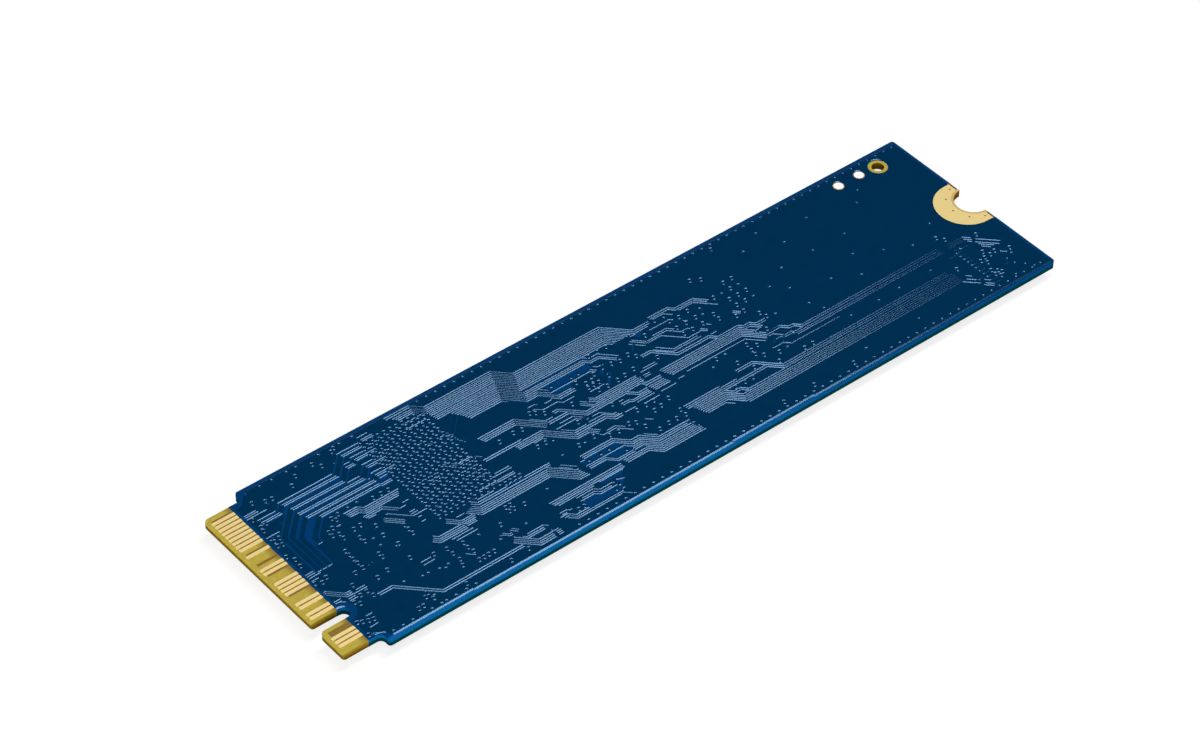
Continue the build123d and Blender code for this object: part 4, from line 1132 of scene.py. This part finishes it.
# Finishes of the record's material slots, and of the two nodes that have their own
MATERIALS = {
    "laminate": laminate_material(),
    "mask": border_material(),
    "mask_over_copper": copper_mask_material(),
    "gold": gold_material(),
    "tin": tin_material(),
    "mould": mould_material(),
    "ferrite": ferrite_material(),
    "crystal_ceramic": dark_ceramic_material(),
    "lid_metal": lid_material(),
    "capacitor_ceramic": tan_ceramic_material(),
    "resistor_coat": coat_material(),
}
for part in frame["record"]["subparts"]:
    node = frame["nodes"][part["node"]]
    node.data.materials.clear()
    node.data.materials.append(MATERIALS[part["material_slot"]])
frame["nodes"]["round_pads"].data.materials[0] = round_pad_material()
frame["nodes"]["chip_side_mask"].data.materials[0] = chip_side_material()
for piece in [plane, via_pads, via_ends, mask_beads] + traces:
    piece.data.materials.append(MATERIALS["mask_over_copper"])
for piece in [solder] + balls:
    piece.data.materials.append(MATERIALS["tin"])

# Camera: its place round the point it looks at, and its lens by the width of the picture
LOOK_AT = spot(37.8, 3.03, MASK_TOP)
CAMERA_AWAY = 344.6
CAMERA_AZIMUTH = 39.92
CAMERA_ELEVATION = 42.74
CAMERA_ROLL = 0.897
CLIP_START = 0.01
FOCAL_PIXELS = 3908.9
PICTURE_WIDTH = 1200
SENSOR_WIDTH = 36
camera = bpy.data.cameras.new("camera")
camera.sensor_width = SENSOR_WIDTH
camera.lens = FOCAL_PIXELS / PICTURE_WIDTH * SENSOR_WIDTH
camera.clip_start = CLIP_START
view = bpy.data.objects.new("camera", camera)
turn = (
    Matrix.Rotation(-radians(CAMERA_AZIMUTH), 4, "Z")
    @ Matrix.Rotation(radians(90 - CAMERA_ELEVATION), 4, "X")
    @ Matrix.Rotation(radians(CAMERA_ROLL), 4, "Z")
)
view.matrix_world = Matrix.Translation(LOOK_AT) @ turn @ Matrix.Translation((0, 0, CAMERA_AWAY * MM))
bpy.context.scene.collection.objects.link(view)
bpy.context.scene.camera = view

# Pale floor: half its width in metres, and its distance below the drive in millimetres
FLOOR_HALF = 6.0
FLOOR_BELOW = 0.02
floor_mesh = bmesh.new()
bmesh.ops.create_grid(floor_mesh, x_segments=1, y_segments=1, size=FLOOR_HALF)
floor = object_of(floor_mesh, "floor")
floor.location.z = -FLOOR_BELOW * MM
floor.data.materials.append(floor_material())

# Strip light overhead with a short end piece, a small sky lamp, and a low fill from the front, in metres
STRIP_SIZE = (0.474, 0.12)
STRIP_AT = (0.148, -0.096, 0.6)
STRIP_TURN = -18.5
STRIP_POWER = 3.25
END_SIZE = (0.05, 0.09)
END_AT = (-0.125, -0.03, 0.6)
END_POWER = STRIP_POWER * END_SIZE[0] * END_SIZE[1] / (STRIP_SIZE[0] * STRIP_SIZE[1])
SKY_SIZE = (0.3, 0.3)
SKY_AT = (-0.35, -0.3, 0.6)
SKY_POWER = 2.6
FILL_SIZE = (0.8, 0.4)
FILL_AT = (-0.5, -0.7, 0.22)
FILL_POWER = 4.0


def add_lamp(name, place, size, power):
    """Rectangular lamp that shines down."""
    lamp = bpy.data.lights.new(name, "AREA")
    lamp.shape = "RECTANGLE"
    lamp.size, lamp.size_y = size
    lamp.energy = power
    holder = bpy.data.objects.new(name, lamp)
    holder.location = place
    bpy.context.scene.collection.objects.link(holder)
    return holder


strip = add_lamp("strip", STRIP_AT, STRIP_SIZE, STRIP_POWER)
strip.rotation_euler = (0, 0, radians(STRIP_TURN))
add_lamp("strip_end", END_AT, END_SIZE, END_POWER)
add_lamp("sky", SKY_AT, SKY_SIZE, SKY_POWER)
fill = add_lamp("fill", FILL_AT, FILL_SIZE, FILL_POWER)
fill.rotation_euler = (LOOK_AT - Vector(FILL_AT)).to_track_quat("-Z", "Y").to_euler()

# Dim room
world = bpy.data.worlds.new("room")
world.use_nodes = True
world.node_tree.nodes["Background"].inputs["Color"].default_value = (*ROOM_GREY, 1)
bpy.context.scene.world = world
bpy.context.scene.view_settings.view_transform = "Standard"
